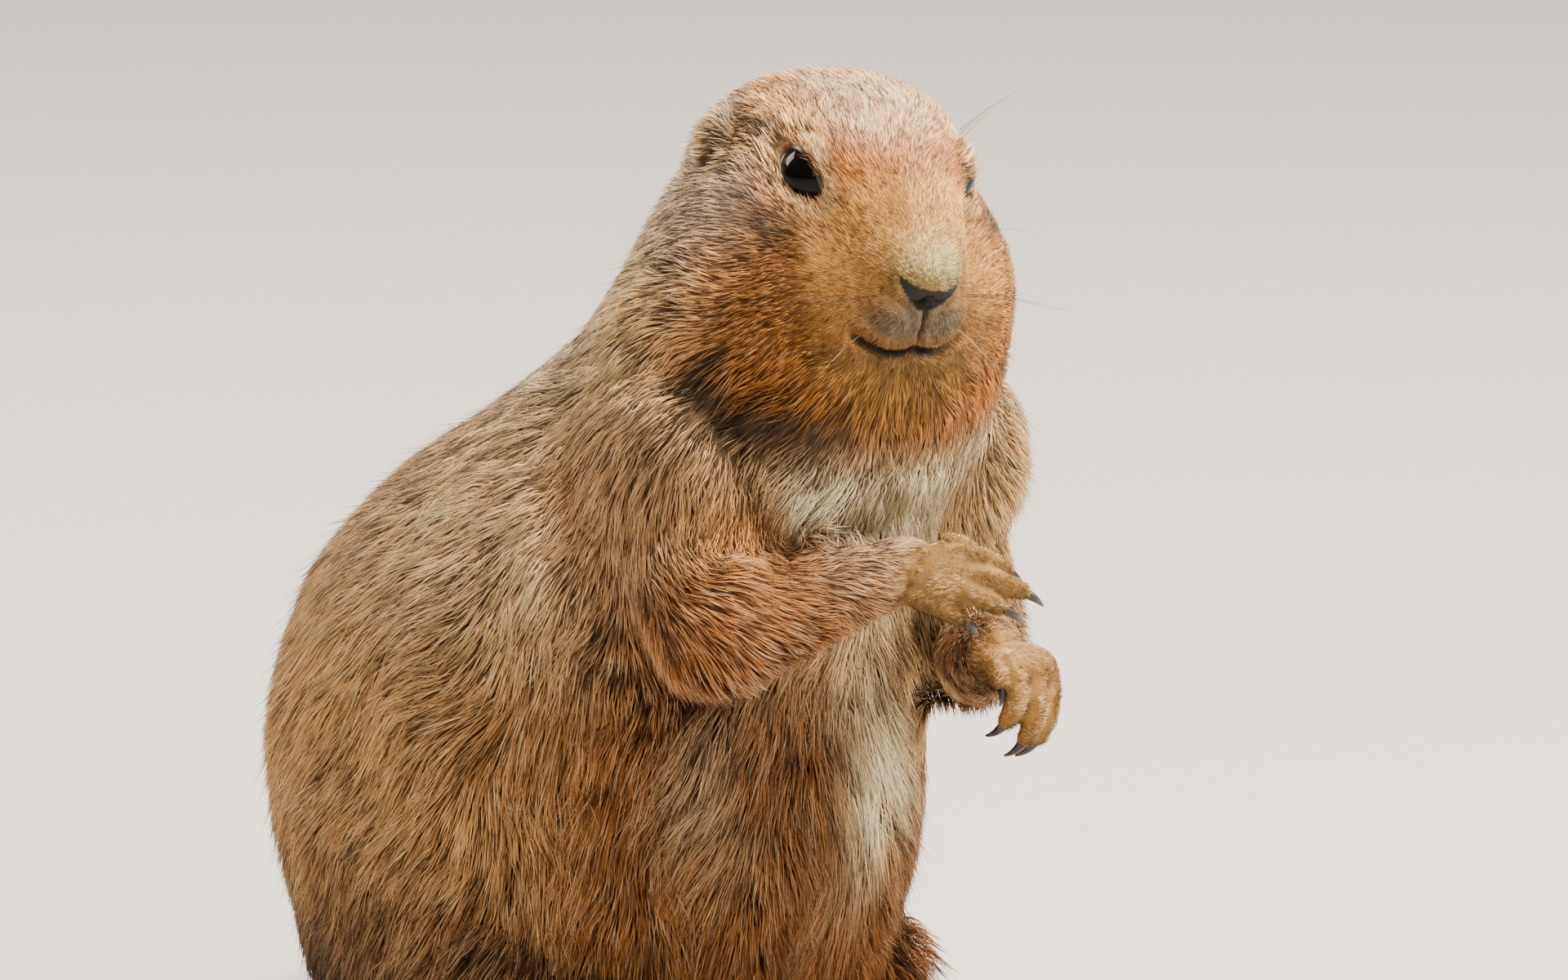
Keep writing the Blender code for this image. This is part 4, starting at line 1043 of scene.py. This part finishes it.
def scattered(points, normals, faces, foldShade):
    # random places on the skin, more of them where the coat is short, with the smooth normal there
    a, b, c = (points[faces[:, k]] for k in range(3))
    area = np.linalg.norm(np.cross(b - a, c - a), axis=1) / 2 / mm**2
    middle = (a + b + c) / 3
    zone = zonesOf(middle)
    short = 1 - ramp(2.2, 6.0, coatLength(zone))
    density = coat["bodyDensity"] + (coat["shortDensity"] - coat["bodyDensity"]) * short
    density = density * (1 - bareSkin(middle, zone)) * (1 - 0.5 * zone["foot"])
    for line, width in shadedPartings.values():
        density = density * (1 - 0.75 * nearLines(zone["b"], line, width))
    total = np.cumsum(area * density)
    count = int(total[-1])
    chosen = np.searchsorted(total, (np.arange(count) + dice.random(count)) / count * total[-1])
    chosen = np.minimum(chosen, len(faces) - 1)
    u, v = dice.random((2, count))
    fold = u + v > 1
    u, v = np.where(fold, 1 - u, u), np.where(fold, 1 - v, v)
    weights = np.stack((1 - u - v, u, v), -1)[..., None]
    root = (points[faces[chosen]] * weights).sum(1)
    foldShadeAtRoot = (foldShade[faces[chosen]] * weights[..., 0]).sum(1)
    return root, unitRows((normals[faces[chosen]] * weights).sum(1)), foldShadeAtRoot


def unwrapped(zone, region):
    # a place on the skin's own unwrap: around and along the part of the body that it lies on
    b, h = zone["b"], zone["h"]
    if region == "Head":
        around, along = np.arctan2(h[:, 0], h[:, 1] + 8), (h[:, 2] + 60) / 90
    elif region == "Tail":
        around, along = np.arctan2(b[:, 2] - 10, b[:, 1] + 88), (b[:, 0] + 10) / 90
    else:
        around, along = np.arctan2(b[:, 0], b[:, 1] - 20), b[:, 2] / 230
    return np.clip(np.stack((0.02 + 0.96 * (around / (2 * math.pi) + 0.5), along), -1), 0.01, 0.99)


def colourPoints(piece, colours, name="coatColour"):
    attribute = piece.data.color_attributes.new(name, "FLOAT_COLOR", "POINT")
    attribute.data.foreach_set("color", np.column_stack((colours, np.ones(len(colours)))).ravel())


def tuftMesh(name, start, middle, tip, radius, side, rise, shades, place):
    # long tuft: a point at the root, a three-sided ring at the middle and a point at the tip
    # short tuft, where middle is None: the ring is at the root
    corner = np.array(((0.0, 1.0), (-0.87, -0.5), (0.87, -0.5)))
    shape = corner[:, 0, None] * side[:, None] + 0.6 * corner[:, 1, None] * rise[:, None]
    count = len(start)
    if middle is None:
        ring = start[:, None] + shape * radius[:, None, None]
        points = np.concatenate((ring, tip[:, None]), axis=1)
        pattern = np.array(((2, 1, 0), (0, 1, 3), (1, 2, 3), (2, 0, 3)))
        tones = np.repeat(shades[:, (0, 2)], (3, 1), axis=1)
    else:
        ring = middle[:, None] + shape * radius[:, None, None]
        points = np.concatenate((start[:, None], ring, tip[:, None]), axis=1)
        pattern = np.array(((0, 2, 1), (0, 3, 2), (0, 1, 3), (1, 2, 4), (2, 3, 4), (3, 1, 4)))
        tones = np.repeat(shades, (1, 3, 1), axis=1)
    size = points.shape[1]
    faces = (pattern[None] + (np.arange(count) * size)[:, None, None]).reshape(-1, 3)
    piece = meshPiece(name, points.reshape(-1, 3), faces)
    colourPoints(piece, tones.reshape(-1, 3))
    spread = np.stack((np.linspace(-1, 1, size), np.cos(np.arange(size) * 2.0)), -1) * coat["patch"]
    uv = (place[:, None] + spread).reshape(-1, 2)[faces.ravel()]
    piece.data.uv_layers.new(name="OFBake").data.foreach_set("uv", uv.ravel())
    return piece


def makeCoat(points, normals, faces, foldShade):
    root, normal, foldShadeAtRoot = scattered(points, normals, faces, foldShade)
    zone, count = zonesOf(root), len(root)
    lie = lieOf(zone, root, normal)
    swirl = 0.26 * waves(root, 0.03, 11) + 0.16 * waves(root, 0.009, 12) + dice.normal(0, 0.13, count)
    lie = lie * np.cos(swirl)[:, None] + np.cross(normal, lie) * np.sin(swirl)[:, None]
    fullLength = coatLength(zone)
    short = fullLength + dice.normal(0, 0.7, count) < coat["shortLimit"]
    guard = (dice.random(count) < coat["guard"]["share"]) & ~short & (zone["forearm"] < 0.5)
    longer = np.where(guard, coat["guard"]["longer"], 1.0)
    length = fullLength * dice.uniform(0.72, 1.2, count) * longer
    depth = coatDepth(zone) * dice.uniform(0.75, 1.2, count)
    first = np.clip(1.6 * depth / length, 0.05, 0.85 - 0.45 * zone["hand"])
    second = np.clip(0.4 * depth / length, -0.2, 0.5) + dice.normal(0, 0.05, count)
    second = second + coat["guard"]["raised"] * guard
    half = (length * 0.5 * mm)[:, None]
    start = root - normal * coat["rootDepth"] * mm
    middle = start + half * (lie * np.sqrt(1 - first**2)[:, None] + normal * first[:, None])
    tip = middle + half * (lie * np.sqrt(1 - second**2)[:, None] + normal * second[:, None])
    # neighbours lean together and share a tone, as damp or oily fur does
    seeds = np.arange(0, count, coat["clump"])
    tree = kdtree.KDTree(len(seeds))
    for k, place in enumerate(root[seeds]):
        tree.insert(place, k)
    tree.balance()
    nearest = np.array([tree.find(place)[1] for place in root])
    pull = np.where(short, *coat["pull"]) * dice.uniform(0.2, 1.3, count) * ~guard
    tip = tip * (1 - pull)[:, None] + tip[seeds][nearest] * pull[:, None]
    # hair is cut short where it would stand out of the model's box
    allowed = np.array(cadHigh - cadLow) * coat["margin"]
    low, high = np.array(cadLow) - allowed, np.array(cadHigh) + allowed
    run = tip - start
    room = np.where(run > 0, high - start, start - low) / np.maximum(np.abs(run), 1e-7)
    kept = np.clip(room.min(1), 0.05, 1)[:, None]
    middle, tip = start + (middle - start) * kept, start + run * kept
    for ring, least in zip((start, middle, tip), coat["floor"]):
        ring[:, 2] = np.maximum(ring[:, 2], least)
    base = markings(root, zone)
    clumpTone = dice.normal(0, 1, len(seeds))[nearest]
    tone = dice.random(count) + 0.14 * clumpTone
    # banded hairs: dark-tipped among pale-tipped, most of them over the nape, the cheeks and the back
    grizzle = zone["head"] * ramp(30, 62, zone["fromNose"]) * ramp(-40, -16, zone["h"][:, 2])
    dark = 0.13 + 0.10 * zone["back"] + 0.12 * ramp(140, 190, zone["b"][:, 2]) * (1 - zone["front"])
    dark = dark * (1 - 0.8 * zone["front"] * (1 - zone["head"])) * (1 - 0.7 * zone["hand"])
    dark = dark * (1 - zone["head"]) + (0.10 + 0.18 * grizzle) * zone["head"]
    lock = 1 - 0.5 * ramp(0.3, 1.3, waves(root, 0.0055, 13)) * np.where(short, 0.5, 1.0)
    isDark, isPale = (tone < dark)[:, None], (tone > 0.58)[:, None]
    spread = np.where(short, 1.1, 0.6)
    value = (1 + (dice.random(count) - 0.5) * spread) * (1 + np.where(short, 0.2, 0.14) * clumpTone)
    value = np.clip(value * lock, 0.15, 1.8)[:, None]
    rootTone = base * 0.22
    midTone = np.where(isDark, base * 0.28, base * 0.92) * value
    wash = (0.50 - 0.30 * zone["face"] - 0.25 * (1 - ramp(20, 70, zone["b"][:, 2])))[:, None]
    tipTone = np.where(isPale, base * 0.8 + hue["paleHair"] * wash, base * 1.2) * value
    # painted shade under the hands: tufts on faces turned down are darker
    under = zone["hand"] * ramp(-0.1, 0.7, -normal[:, 2])
    tipTone = np.where(isDark, hue["darkHair"] * 1.5, tipTone)
    shades = np.stack((rootTone, midTone, tipTone), 1) * (1 - 0.65 * under)[:, None, None]
    # painted shade in the skin's folds, darker still on the hands
    shades = shades * (1 - (0.55 + 0.3 * zone["hand"]) * foldShadeAtRoot)[:, None, None]
    shades = np.clip(shades, 0.002, 0.95)
    across = np.interp(fullLength, *coat["widths"]) * np.where(guard, coat["guard"]["thinner"], 1.0)
    radius = across * dice.uniform(0.7, 1.3, count) * mm / 2
    run = unitRows(tip - start)
    side = unitRows(np.cross(run, normal))
    rise = np.cross(side, run)
    heads = zone["head"] > 0.5
    tails = (zone["tail"] > 0.5) & ~heads
    around = np.arctan2(zone["b"][:, 0], zone["b"][:, 1] - 20)
    pieces = []
    for region, member in {"Head": heads, "Tail": tails, "Body": ~heads & ~tails}.items():
        place = unwrapped(zone, region)
        for kind, here in (("Short", member & short), ("Long", member & ~short)):
            chosen = np.flatnonzero(here)
            chosen = chosen[np.argsort(around[chosen])]
            limit = coat["pieceTufts"] * (1.5 if kind == "Short" else 1)
            parts = np.array_split(chosen, max(1, math.ceil(len(chosen) / limit)))
            for number, part in enumerate((p for p in parts if len(p)), start=1):
                bend = None if kind == "Short" else middle[part]
                shape = (start[part], bend, tip[part], radius[part], side[part], rise[part])
                pieces.append(tuftMesh(f"coat{region}{kind}{number}", *shape, shades[part], place[part]))
    print("coat:", count, "tufts,", int(short.sum()), "short,", len(pieces), "pieces")
    return pieces


# materials

def addNode(tree, kind, settings=None, inputs=None):
    # a node with its settings, its inputs given as values or as sockets to link
    node = tree.nodes.new(kind)
    for key, value in (settings or {}).items():
        setattr(node, key, value)
    for key, value in (inputs or {}).items():
        if isinstance(value, bpy.types.NodeSocket):
            tree.links.new(value, node.inputs[key])
        else:
            node.inputs[key].default_value = value
    return node


def surface(name, settings):
    material = bpy.data.materials.new(name)
    material.use_nodes = True
    tree = material.node_tree
    tree.nodes.clear()
    shader = addNode(tree, "ShaderNodeBsdfPrincipled", None, settings)
    addNode(tree, "ShaderNodeOutputMaterial", None, {"Surface": shader.outputs[0]})
    return material, tree, shader


def colouredSurface(name, attribute, settings, grain=None):
    # colour from the points' own attribute; grain is a noise size and a bump depth in millimetres
    material, tree, shader = surface(name, settings)
    colour = addNode(tree, "ShaderNodeAttribute", {"attribute_name": attribute})
    tree.links.new(colour.outputs["Color"], shader.inputs["Base Color"])
    if grain:
        place = addNode(tree, "ShaderNodeTexCoord")
        inputs = {"Vector": place.outputs["Object"], "Scale": 1 / (grain[0] * mm), "Detail": 3.0}
        noise = addNode(tree, "ShaderNodeTexNoise", None, inputs)
        inputs = {"Height": noise.outputs["Fac"], "Strength": 0.7, "Distance": grain[1] * mm}
        bump = addNode(tree, "ShaderNodeBump", None, inputs)
        tree.links.new(bump.outputs["Normal"], shader.inputs["Normal"])
    return material


# keratin hair: a soft gloss along each strand, IOR 1.55
hairLook = {"Roughness": 0.5, "IOR": 1.55, "Specular IOR Level": 0.16}
hairFinish = colouredSurface("keratinHair", "coatColour", hairLook)
# skin under woolly underfur: matt, its fibres 0.5 mm apart
skinFinish = colouredSurface("underfurSkin", "coatColour", {"Roughness": 0.85}, (0.5, 0.3))
# wet rim of the lids
lidFinish = colouredSurface("moistLid", "lidColour", {"Roughness": 0.32}, (0.35, 0.05))
# bare nose leather: fine pebbles
noseLook = {"Roughness": 0.75, "Specular IOR Level": 0.15}
noseFinish = colouredSurface("noseLeather", "noseColour", noseLook, (0.3, 0.12))
# horn of the claws: worn smooth, faint lengthwise wear
clawFinish = colouredSurface("wornClawHorn", "clawColour", {"Roughness": 0.38, "IOR": 1.54}, (0.6, 0.05))
# cornea over a dark iris: a clear wet gloss, IOR 1.376
corneaLook = {"Roughness": 0.05, "IOR": 1.376, "Specular IOR Level": 0.2}
eyeFinish = colouredSurface("wetCornea", "eyeColour", corneaLook)


def dressed(piece, material, replaced=()):
    piece.data.materials.append(material)
    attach(piece, "root")
    if replaced:
        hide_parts(*replaced)
    return piece


# eyes and lids

eyeLook = {
    "rows": 40,
    "columns": 56,
    "swell": 0.03,  # the cornea's height as a share of the radius, and its width in radians
    "swellWidth": 0.7,
    "iris": ((18, 26), (44, 56)),  # degrees from the middle of the cornea
    "streaks": 36,
    "dark": "070504",
    "brown": "0e0806",
}


def eyePiece(sideName, side):
    # a ball whose radius swells by a bell curve of the polar angle at the cornea
    polar = np.linspace(0.02, math.pi - 0.02, eyeLook["rows"])[:, None]
    around = np.linspace(0, 2 * math.pi, eyeLook["columns"], endpoint=False)[None]
    swell = eyeLook["swell"] * np.exp(-((polar / eyeLook["swellWidth"]) ** 2))
    radius = eyeShape["radius"] * (1 + swell) * unit
    x, z, depth = polarShape(polar, around)
    grid = np.stack((x, -depth, z), -1) * radius[..., None]
    points, faces = closedGrid(grid @ eyeTurn(side).T + eyeCentre(side))
    piece = meshPiece("eye" + sideName.title(), points, faces)
    q = unitRows(points - eyeCentre(side)) @ eyeTurn(side)
    angle = np.degrees(np.arccos(np.clip(-q[:, 1], -1, 1)))
    streak = 0.5 + 0.5 * np.sin(np.arctan2(q[:, 2], q[:, 0]) * eyeLook["streaks"])
    inner, outer = eyeLook["iris"]
    iris = ramp(*inner, angle) * (1 - ramp(*outer, angle))
    brown = linear(eyeLook["brown"]) * (iris * (0.6 + 0.4 * streak))[:, None]
    tones = linear(eyeLook["dark"]) * (1 - iris)[:, None] + brown
    colourPoints(piece, tones, "eyeColour")
    return dressed(piece, eyeFinish, ["eye_" + sideName])


lid = {
    "rows": (  # along the ball from the opening's edge, height over the ball, colour
        (-0.6, -0.5, "15100c"),
        (-0.1, 0.0, "15100c"),
        (0.12, 0.25, "1f1c1a"),
        (0.40, 0.34, "15100c"),
        (0.85, 0.46, "120c09"),
        (1.30, 0.55, "2a1c12"),
        (1.90, 0.60, "8a6236"),
        (2.60, 0.45, "a87c48"),
        (3.60, 0.00, "a87c48"),
        (3.60, -1.20, "a87c48"),
        (1.40, -1.40, "15100c"),
    ),
    "around": 96,
    "wetReflection": "4e5f68",  # the painted reflection on the wet line inside the lower lid, and how strong it is on two of the rows
    "wetReflectionRows": {1: 0.45, 2: 0.95},
}


def lidRing(side):
    # around the opening's edge and along a profile over the eyeball, closed both ways
    angle = np.arange(lid["around"]) / lid["around"] * 2 * math.pi
    x, z = almond(angle, side)
    polar = np.arcsin(np.clip(np.hypot(x, z) / eyeShape["radius"], 0, 0.97))[None]
    turn = np.arctan2(z, x)[None]
    along, height = np.array([row[:2] for row in lid["rows"]]).T[:, :, None]
    polar = polar + along / eyeShape["radius"]
    radius = (eyeShape["radius"] + height) * unit
    shape = np.stack((np.sin(polar) * np.cos(turn), -np.cos(polar), np.sin(polar) * np.sin(turn)), -1)
    return (shape * radius[..., None]) @ eyeTurn(side).T + eyeCentre(side)


def ringFaces(rows, columns):
    # two triangles for each cell of a grid that closes on itself both ways
    index = np.arange(rows * columns).reshape(rows, columns)
    right, below = np.roll(index, -1, axis=1), np.roll(index, -1, axis=0)
    across = np.roll(below, -1, axis=1)
    corners = ((index, right, across), (index, across, below))
    return np.concatenate([np.stack(three, -1).reshape(-1, 3) for three in corners])


def lidPiece(sideName, side):
    grid = lidRing(side)
    rows, columns = grid.shape[:2]
    points, faces = turnedOut(grid.reshape(-1, 3), ringFaces(rows, columns))
    piece = meshPiece("lid" + sideName.title(), points, faces)
    tones = np.repeat(np.array([linear(row[2]) for row in lid["rows"]])[:, None], columns, axis=1)
    angle = np.arange(columns) / columns * 2 * math.pi
    low = np.clip(-np.sin(angle + side * 0.5), 0, 1) ** 0.6
    # painted reflection on the wet line inside the lower lid
    for row, strength in lid["wetReflectionRows"].items():
        wetReflection = linear(lid["wetReflection"]) * (low * strength)[:, None]
        tones[row] = tones[row] * (1 - low)[:, None] + wetReflection
    colourPoints(piece, tones.reshape(-1, 3), "lidColour")
    return dressed(piece, lidFinish)


# the nose's leather under its furred pad

leather = {
    "centre": (0.0, 40.0, -14.2),
    "radii": (8.4, 5.2, 3.3),
    "rows": 70,
    "columns": 110,
    "pit": ((2.7, -0.1), (1.5, 1.15)),  # a nostril's place to the side and up, and its radii
    "slit": (0.5, 0.05, 0.55),  # its tail: height, rise to the side, half height
    "slitEnds": ((2.2, 3.4), (6.4, 7.8)),
    "seamHalf": 0.4,
    "depths": (2.4, 1.2, 0.5),  # of pit, slit and seam
    # painted shade: how much darker the pit, the slit and the seam are; the second colour is the shade's
    "recessShade": (1.2, 0.9, 0.3),
    "colours": ("231913", "060504"),
}


def nosePiece():
    # an ellipsoid bent up to both sides, with two comma-shaped nostrils and a groove between them
    points, faces = ball((0.0, 0.0, 0.0), leather["radii"], None, leather["rows"], leather["columns"])
    x, y, z = points.T
    front = ramp(0, 2.5, y)
    away = np.abs(x)
    pit = hump(np.stack((away, z), -1), *leather["pit"])
    height, rise, half = leather["slit"]
    begins, ends = leather["slitEnds"]
    slit = np.exp(-(((z - height - rise * (away - 3)) / half) ** 2))
    slit = slit * ramp(*begins, away) * (1 - ramp(*ends, away))
    seam = np.exp(-((x / leather["seamHalf"]) ** 2))
    marks = np.stack((pit, slit, seam), -1)
    y = y - front * (marks @ np.array(leather["depths"]))
    z = z + nose["rise"] * x**2
    cx, cy, cz = leather["centre"]
    piece = meshPiece("noseLeather", headSpot(x + cx, y + cy, z + cz), faces)
    # painted shade: the nostrils and the groove between them darker, the deeper the darker
    depth = np.clip(marks @ np.array(leather["recessShade"]), 0, 1)[:, None]
    plain, recessShadeTone = (linear(code) for code in leather["colours"])
    tones = plain * (1 - depth) + recessShadeTone * depth
    colourPoints(piece, tones, "noseColour")
    return dressed(piece, noseFinish)


# whiskers and brow hairs

whiskers = (  # root in the head's axes, way it points, length in millimetres, colour: the same on both sides
    ((9.0, 39.5, -15.0), (0.95, 0.10, 0.02), 26, "1c130d"),
    ((10.0, 37.5, -15.5), (0.96, -0.10, -0.02), 31, "1c130d"),
    ((11.2, 35.0, -16.0), (0.95, -0.28, -0.05), 36, "1c130d"),
    ((12.0, 32.5, -16.5), (0.93, -0.40, -0.02), 38, "241811"),
    ((9.0, 39.0, -18.0), (0.92, 0.12, -0.22), 24, "1c130d"),
    ((10.2, 36.5, -18.5), (0.93, -0.08, -0.28), 29, "2a1d14"),
    ((11.2, 34.0, -19.0), (0.90, -0.26, -0.32), 33, "1c130d"),
    ((11.6, 31.5, -19.5), (0.86, -0.42, -0.30), 30, "3a291c"),
    ((8.6, 39.0, -20.8), (0.80, 0.14, -0.50), 18, "d9c49c"),
    ((9.8, 36.0, -21.5), (0.80, -0.08, -0.55), 22, "d9c49c"),
    ((10.6, 33.0, -22.0), (0.76, -0.26, -0.55), 22, "c9ad7c"),
    ((15.5, 20.0, 15.5), (0.45, 0.20, 0.86), 22, "b0702c"),
    ((17.0, 17.0, 15.8), (0.60, 0.05, 0.80), 18, "1c130d"),
    ((18.6, 14.0, 15.5), (0.72, -0.10, 0.68), 16, "1c130d"),
    ((30.0, 8.0, -12.0), (0.90, -0.40, 0.02), 24, "1c130d"),
    ((31.0, 4.0, -15.0), (0.88, -0.46, -0.10), 22, "1c130d"),
)
whiskerShape = {"radius": 0.075, "steps": 7, "sides": 4, "droop": 0.22}


def whiskerPiece():
    # each whisker is a tapering tube along a parabola that droops with the square of its length
    forms, tones = [], []
    share = np.linspace(0, 1, whiskerShape["steps"])[:, None]
    for side in sideSigns.values():
        for root, direction, length, code in whiskers:
            start = headSpot(side * root[0], *root[1:])
            heading = headTurn @ way(side * direction[0], *direction[1:])
            reach = length * mm * dice.uniform(0.88, 1.1)
            droop = whiskerShape["droop"] * reach * dice.uniform(0.5, 1.3)
            path = start + heading * reach * share - np.array((0, 0, 1)) * droop * share**2
            radii = whiskerShape["radius"] * mm * (1.05 - share[:, 0])
            points, faces = tube(path, radii, 2, whiskerShape["sides"])
            forms.append((points, faces))
            tones.append(np.repeat(linear(code)[None], len(points), axis=0))
    piece = meshPiece("whiskers", *joined(forms))
    colourPoints(piece, np.vstack(tones))
    return dressed(piece, hairFinish)


# claws

horn = {"root": "16120f", "tip": "4e443a", "paling": (0.45, 1.0), "ridges": 0.25, "ridgeSize": 0.0012}


def clawPiece(name, node, nail):
    # a tube that curves down and thins with the power 1.5 of its length
    number, root, side, bend, heading, length, radius = nail
    share = np.linspace(0, 1, claws["steps"])
    steps = np.array([turned(heading, side, bend + claws["bend"] * s) for s in share[:-1]])
    path = np.vstack((root, root + np.cumsum(steps, axis=0) * length * unit / (claws["steps"] - 1)))
    radii = radius * unit * (1 - claws["taper"] * share**1.5)
    points, faces = tube(path, radii, 3, 16)
    piece = meshPiece(name, points, faces)
    along = np.clip(np.linalg.norm(points - root, axis=1) / (length * unit), 0, 1)
    ridge = 1 + horn["ridges"] * waves(points, horn["ridgeSize"], 40 + number)
    pale = ramp(*horn["paling"], along)[:, None]
    tones = linear(horn["root"]) * (1 - pale) + linear(horn["tip"]) * pale
    colourPoints(piece, tones * ridge[:, None], "clawColour")
    return dressed(piece, clawFinish, [node])


# the whole animal

bareSkinAndShadeLines = {"lipHalf": 1.7, "splitHalf": 0.8, "cupShade": 0.85, "colour": "140d09"}


def darkSkinAndShade(points, zone):
    # 1 where the skin is painted dark: the dark bare nose, and painted shade in the line of the mouth, the
    #                                   groove over it and the ears' cups, partly their own dark bare skin
    above, share = mouthLevel(zone["h"])
    x, forward, up = zone["h"].T
    lip = np.exp(-((above / bareSkinAndShadeLines["lipHalf"]) ** 2)) * (1 - ramp(0.85, 1.05, share))
    dark = lip * ramp(22, 30, forward) * zone["head"]
    split = np.exp(-((x / bareSkinAndShadeLines["splitHalf"]) ** 2)) * ramp(-27, -24, up)
    split = split * (1 - ramp(-17, -14, up))
    dark = np.maximum(dark, split * ramp(34, 38, forward))
    dark = np.maximum(dark, noseBand(zone["h"]) * zone["head"])
    for side in sideSigns.values():
        cup = cupShare(points, side)
        dark = np.maximum(dark, bareSkinAndShadeLines["cupShade"] * (1 - ramp(0.9, 1.2, cup)))
    return dark[:, None]


fleshNodes = [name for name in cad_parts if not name.startswith(("claw", "toe_claw", "eye"))]
skin = meshPiece("skin", skinPoints, skinFaces)
zone = zonesOf(skinPoints)
foldShade = foldShadeOf(skinPoints, skinNormals, skinFaces)
# painted shade in the skin's folds
tones = markings(skinPoints, zone) * (0.3 + 0.25 * zone["hand"])[:, None] * (1 - 0.75 * foldShade)[:, None]
# painted shade in the mouth's line, the groove and the ears' cups, with the dark bare nose
darkSkinAndShadeShare = darkSkinAndShade(skinPoints, zone)
tones = tones * (1 - darkSkinAndShadeShare) + linear(bareSkinAndShadeLines["colour"]) * darkSkinAndShadeShare
colourPoints(skin, tones)
dressed(skin, skinFinish, fleshNodes)
for sideName, side in sideSigns.items():
    eyePiece(sideName, side)
    lidPiece(sideName, side)
    for nails, node in zip(nailPlans[sideName], ("claw_", "toe_claw_")):
        for nail in nails:
            label = ("claw" if node == "claw_" else "toeClaw") + sideName.title() + str(nail[0])
            clawPiece(label, f"{node}{sideName}_{nail[0]}", nail)
nosePiece()
whiskerPiece()
print("eyes, lids, nose, whiskers and claws made")
for piece in makeCoat(skinPoints, skinNormals, skinFaces, foldShade):
    dressed(piece, hairFinish)


# camera, floor and light

photo = {
    "target": (48.5, 15.4, 128.2),
    "back": (-0.749, -0.629, 0.208),
    "distance": 9.0,
    "width": 1920 / 6023,  # metres across the picture
    "sensor": 36.0,
}
target = Vector(spot(*photo["target"]))
backward = Vector(photo["back"]).normalized()
camera = bpy.data.objects.new("camera", bpy.data.cameras.new("camera"))
bpy.context.scene.collection.objects.link(camera)
camera.location = target + backward * photo["distance"]
camera.rotation_euler = backward.to_track_quat("Z", "Y").to_euler()
camera.data.sensor_width = photo["sensor"]
camera.data.lens = photo["sensor"] * photo["distance"] / photo["width"]
camera.data.clip_end = 50.0
bpy.context.scene.camera = camera

floorSize = 20.0
corners = np.array(((-1, -1, 0), (1, -1, 0), (1, 1, 0), (-1, 1, 0))) * floorSize
floor = meshPiece("floor", corners, np.array(((0, 1, 2, 3),)), False)
cardLook = {"Roughness": 0.8, "Base Color": (*linear("aaa59d"), 1)}
floor.data.materials.append(surface("paleCard", cardLook)[0])

lamps = {  # right, up and towards the camera from the animal's middle, size, power
    "sky": ((-0.1, 1.20, -0.15), 0.8, 40.0),
    "key": ((0.30, 1.15, 0.50), 0.22, 44.0),
    "leftRim": ((-1.0, 0.75, -0.35), 0.6, 18.0),
    "rightRim": ((1.1, 0.75, 0.10), 0.6, 44.0),
    "fill": ((0.5, 0.35, 1.3), 1.0, 12.0),
}
cameraTurn = camera.rotation_euler.to_matrix()
for name, (place, size, power) in lamps.items():
    lamp = bpy.data.objects.new(name, bpy.data.lights.new(name, "AREA"))
    lamp.data.size = size
    lamp.data.energy = power
    lamp.data.color = (1.0, 0.95, 0.88)
    lamp.location = target + cameraTurn @ Vector(place)
    lamp.rotation_euler = (lamp.location - target).to_track_quat("Z", "Y").to_euler()
    bpy.context.scene.collection.objects.link(lamp)
world = bpy.data.worlds.new("studio")
world.use_nodes = True
world.node_tree.nodes["Background"].inputs["Color"].default_value = (0.95, 0.96, 1.0, 1)
world.node_tree.nodes["Background"].inputs["Strength"].default_value = 0.18
bpy.context.scene.world = world
print("camera, floor and light set")
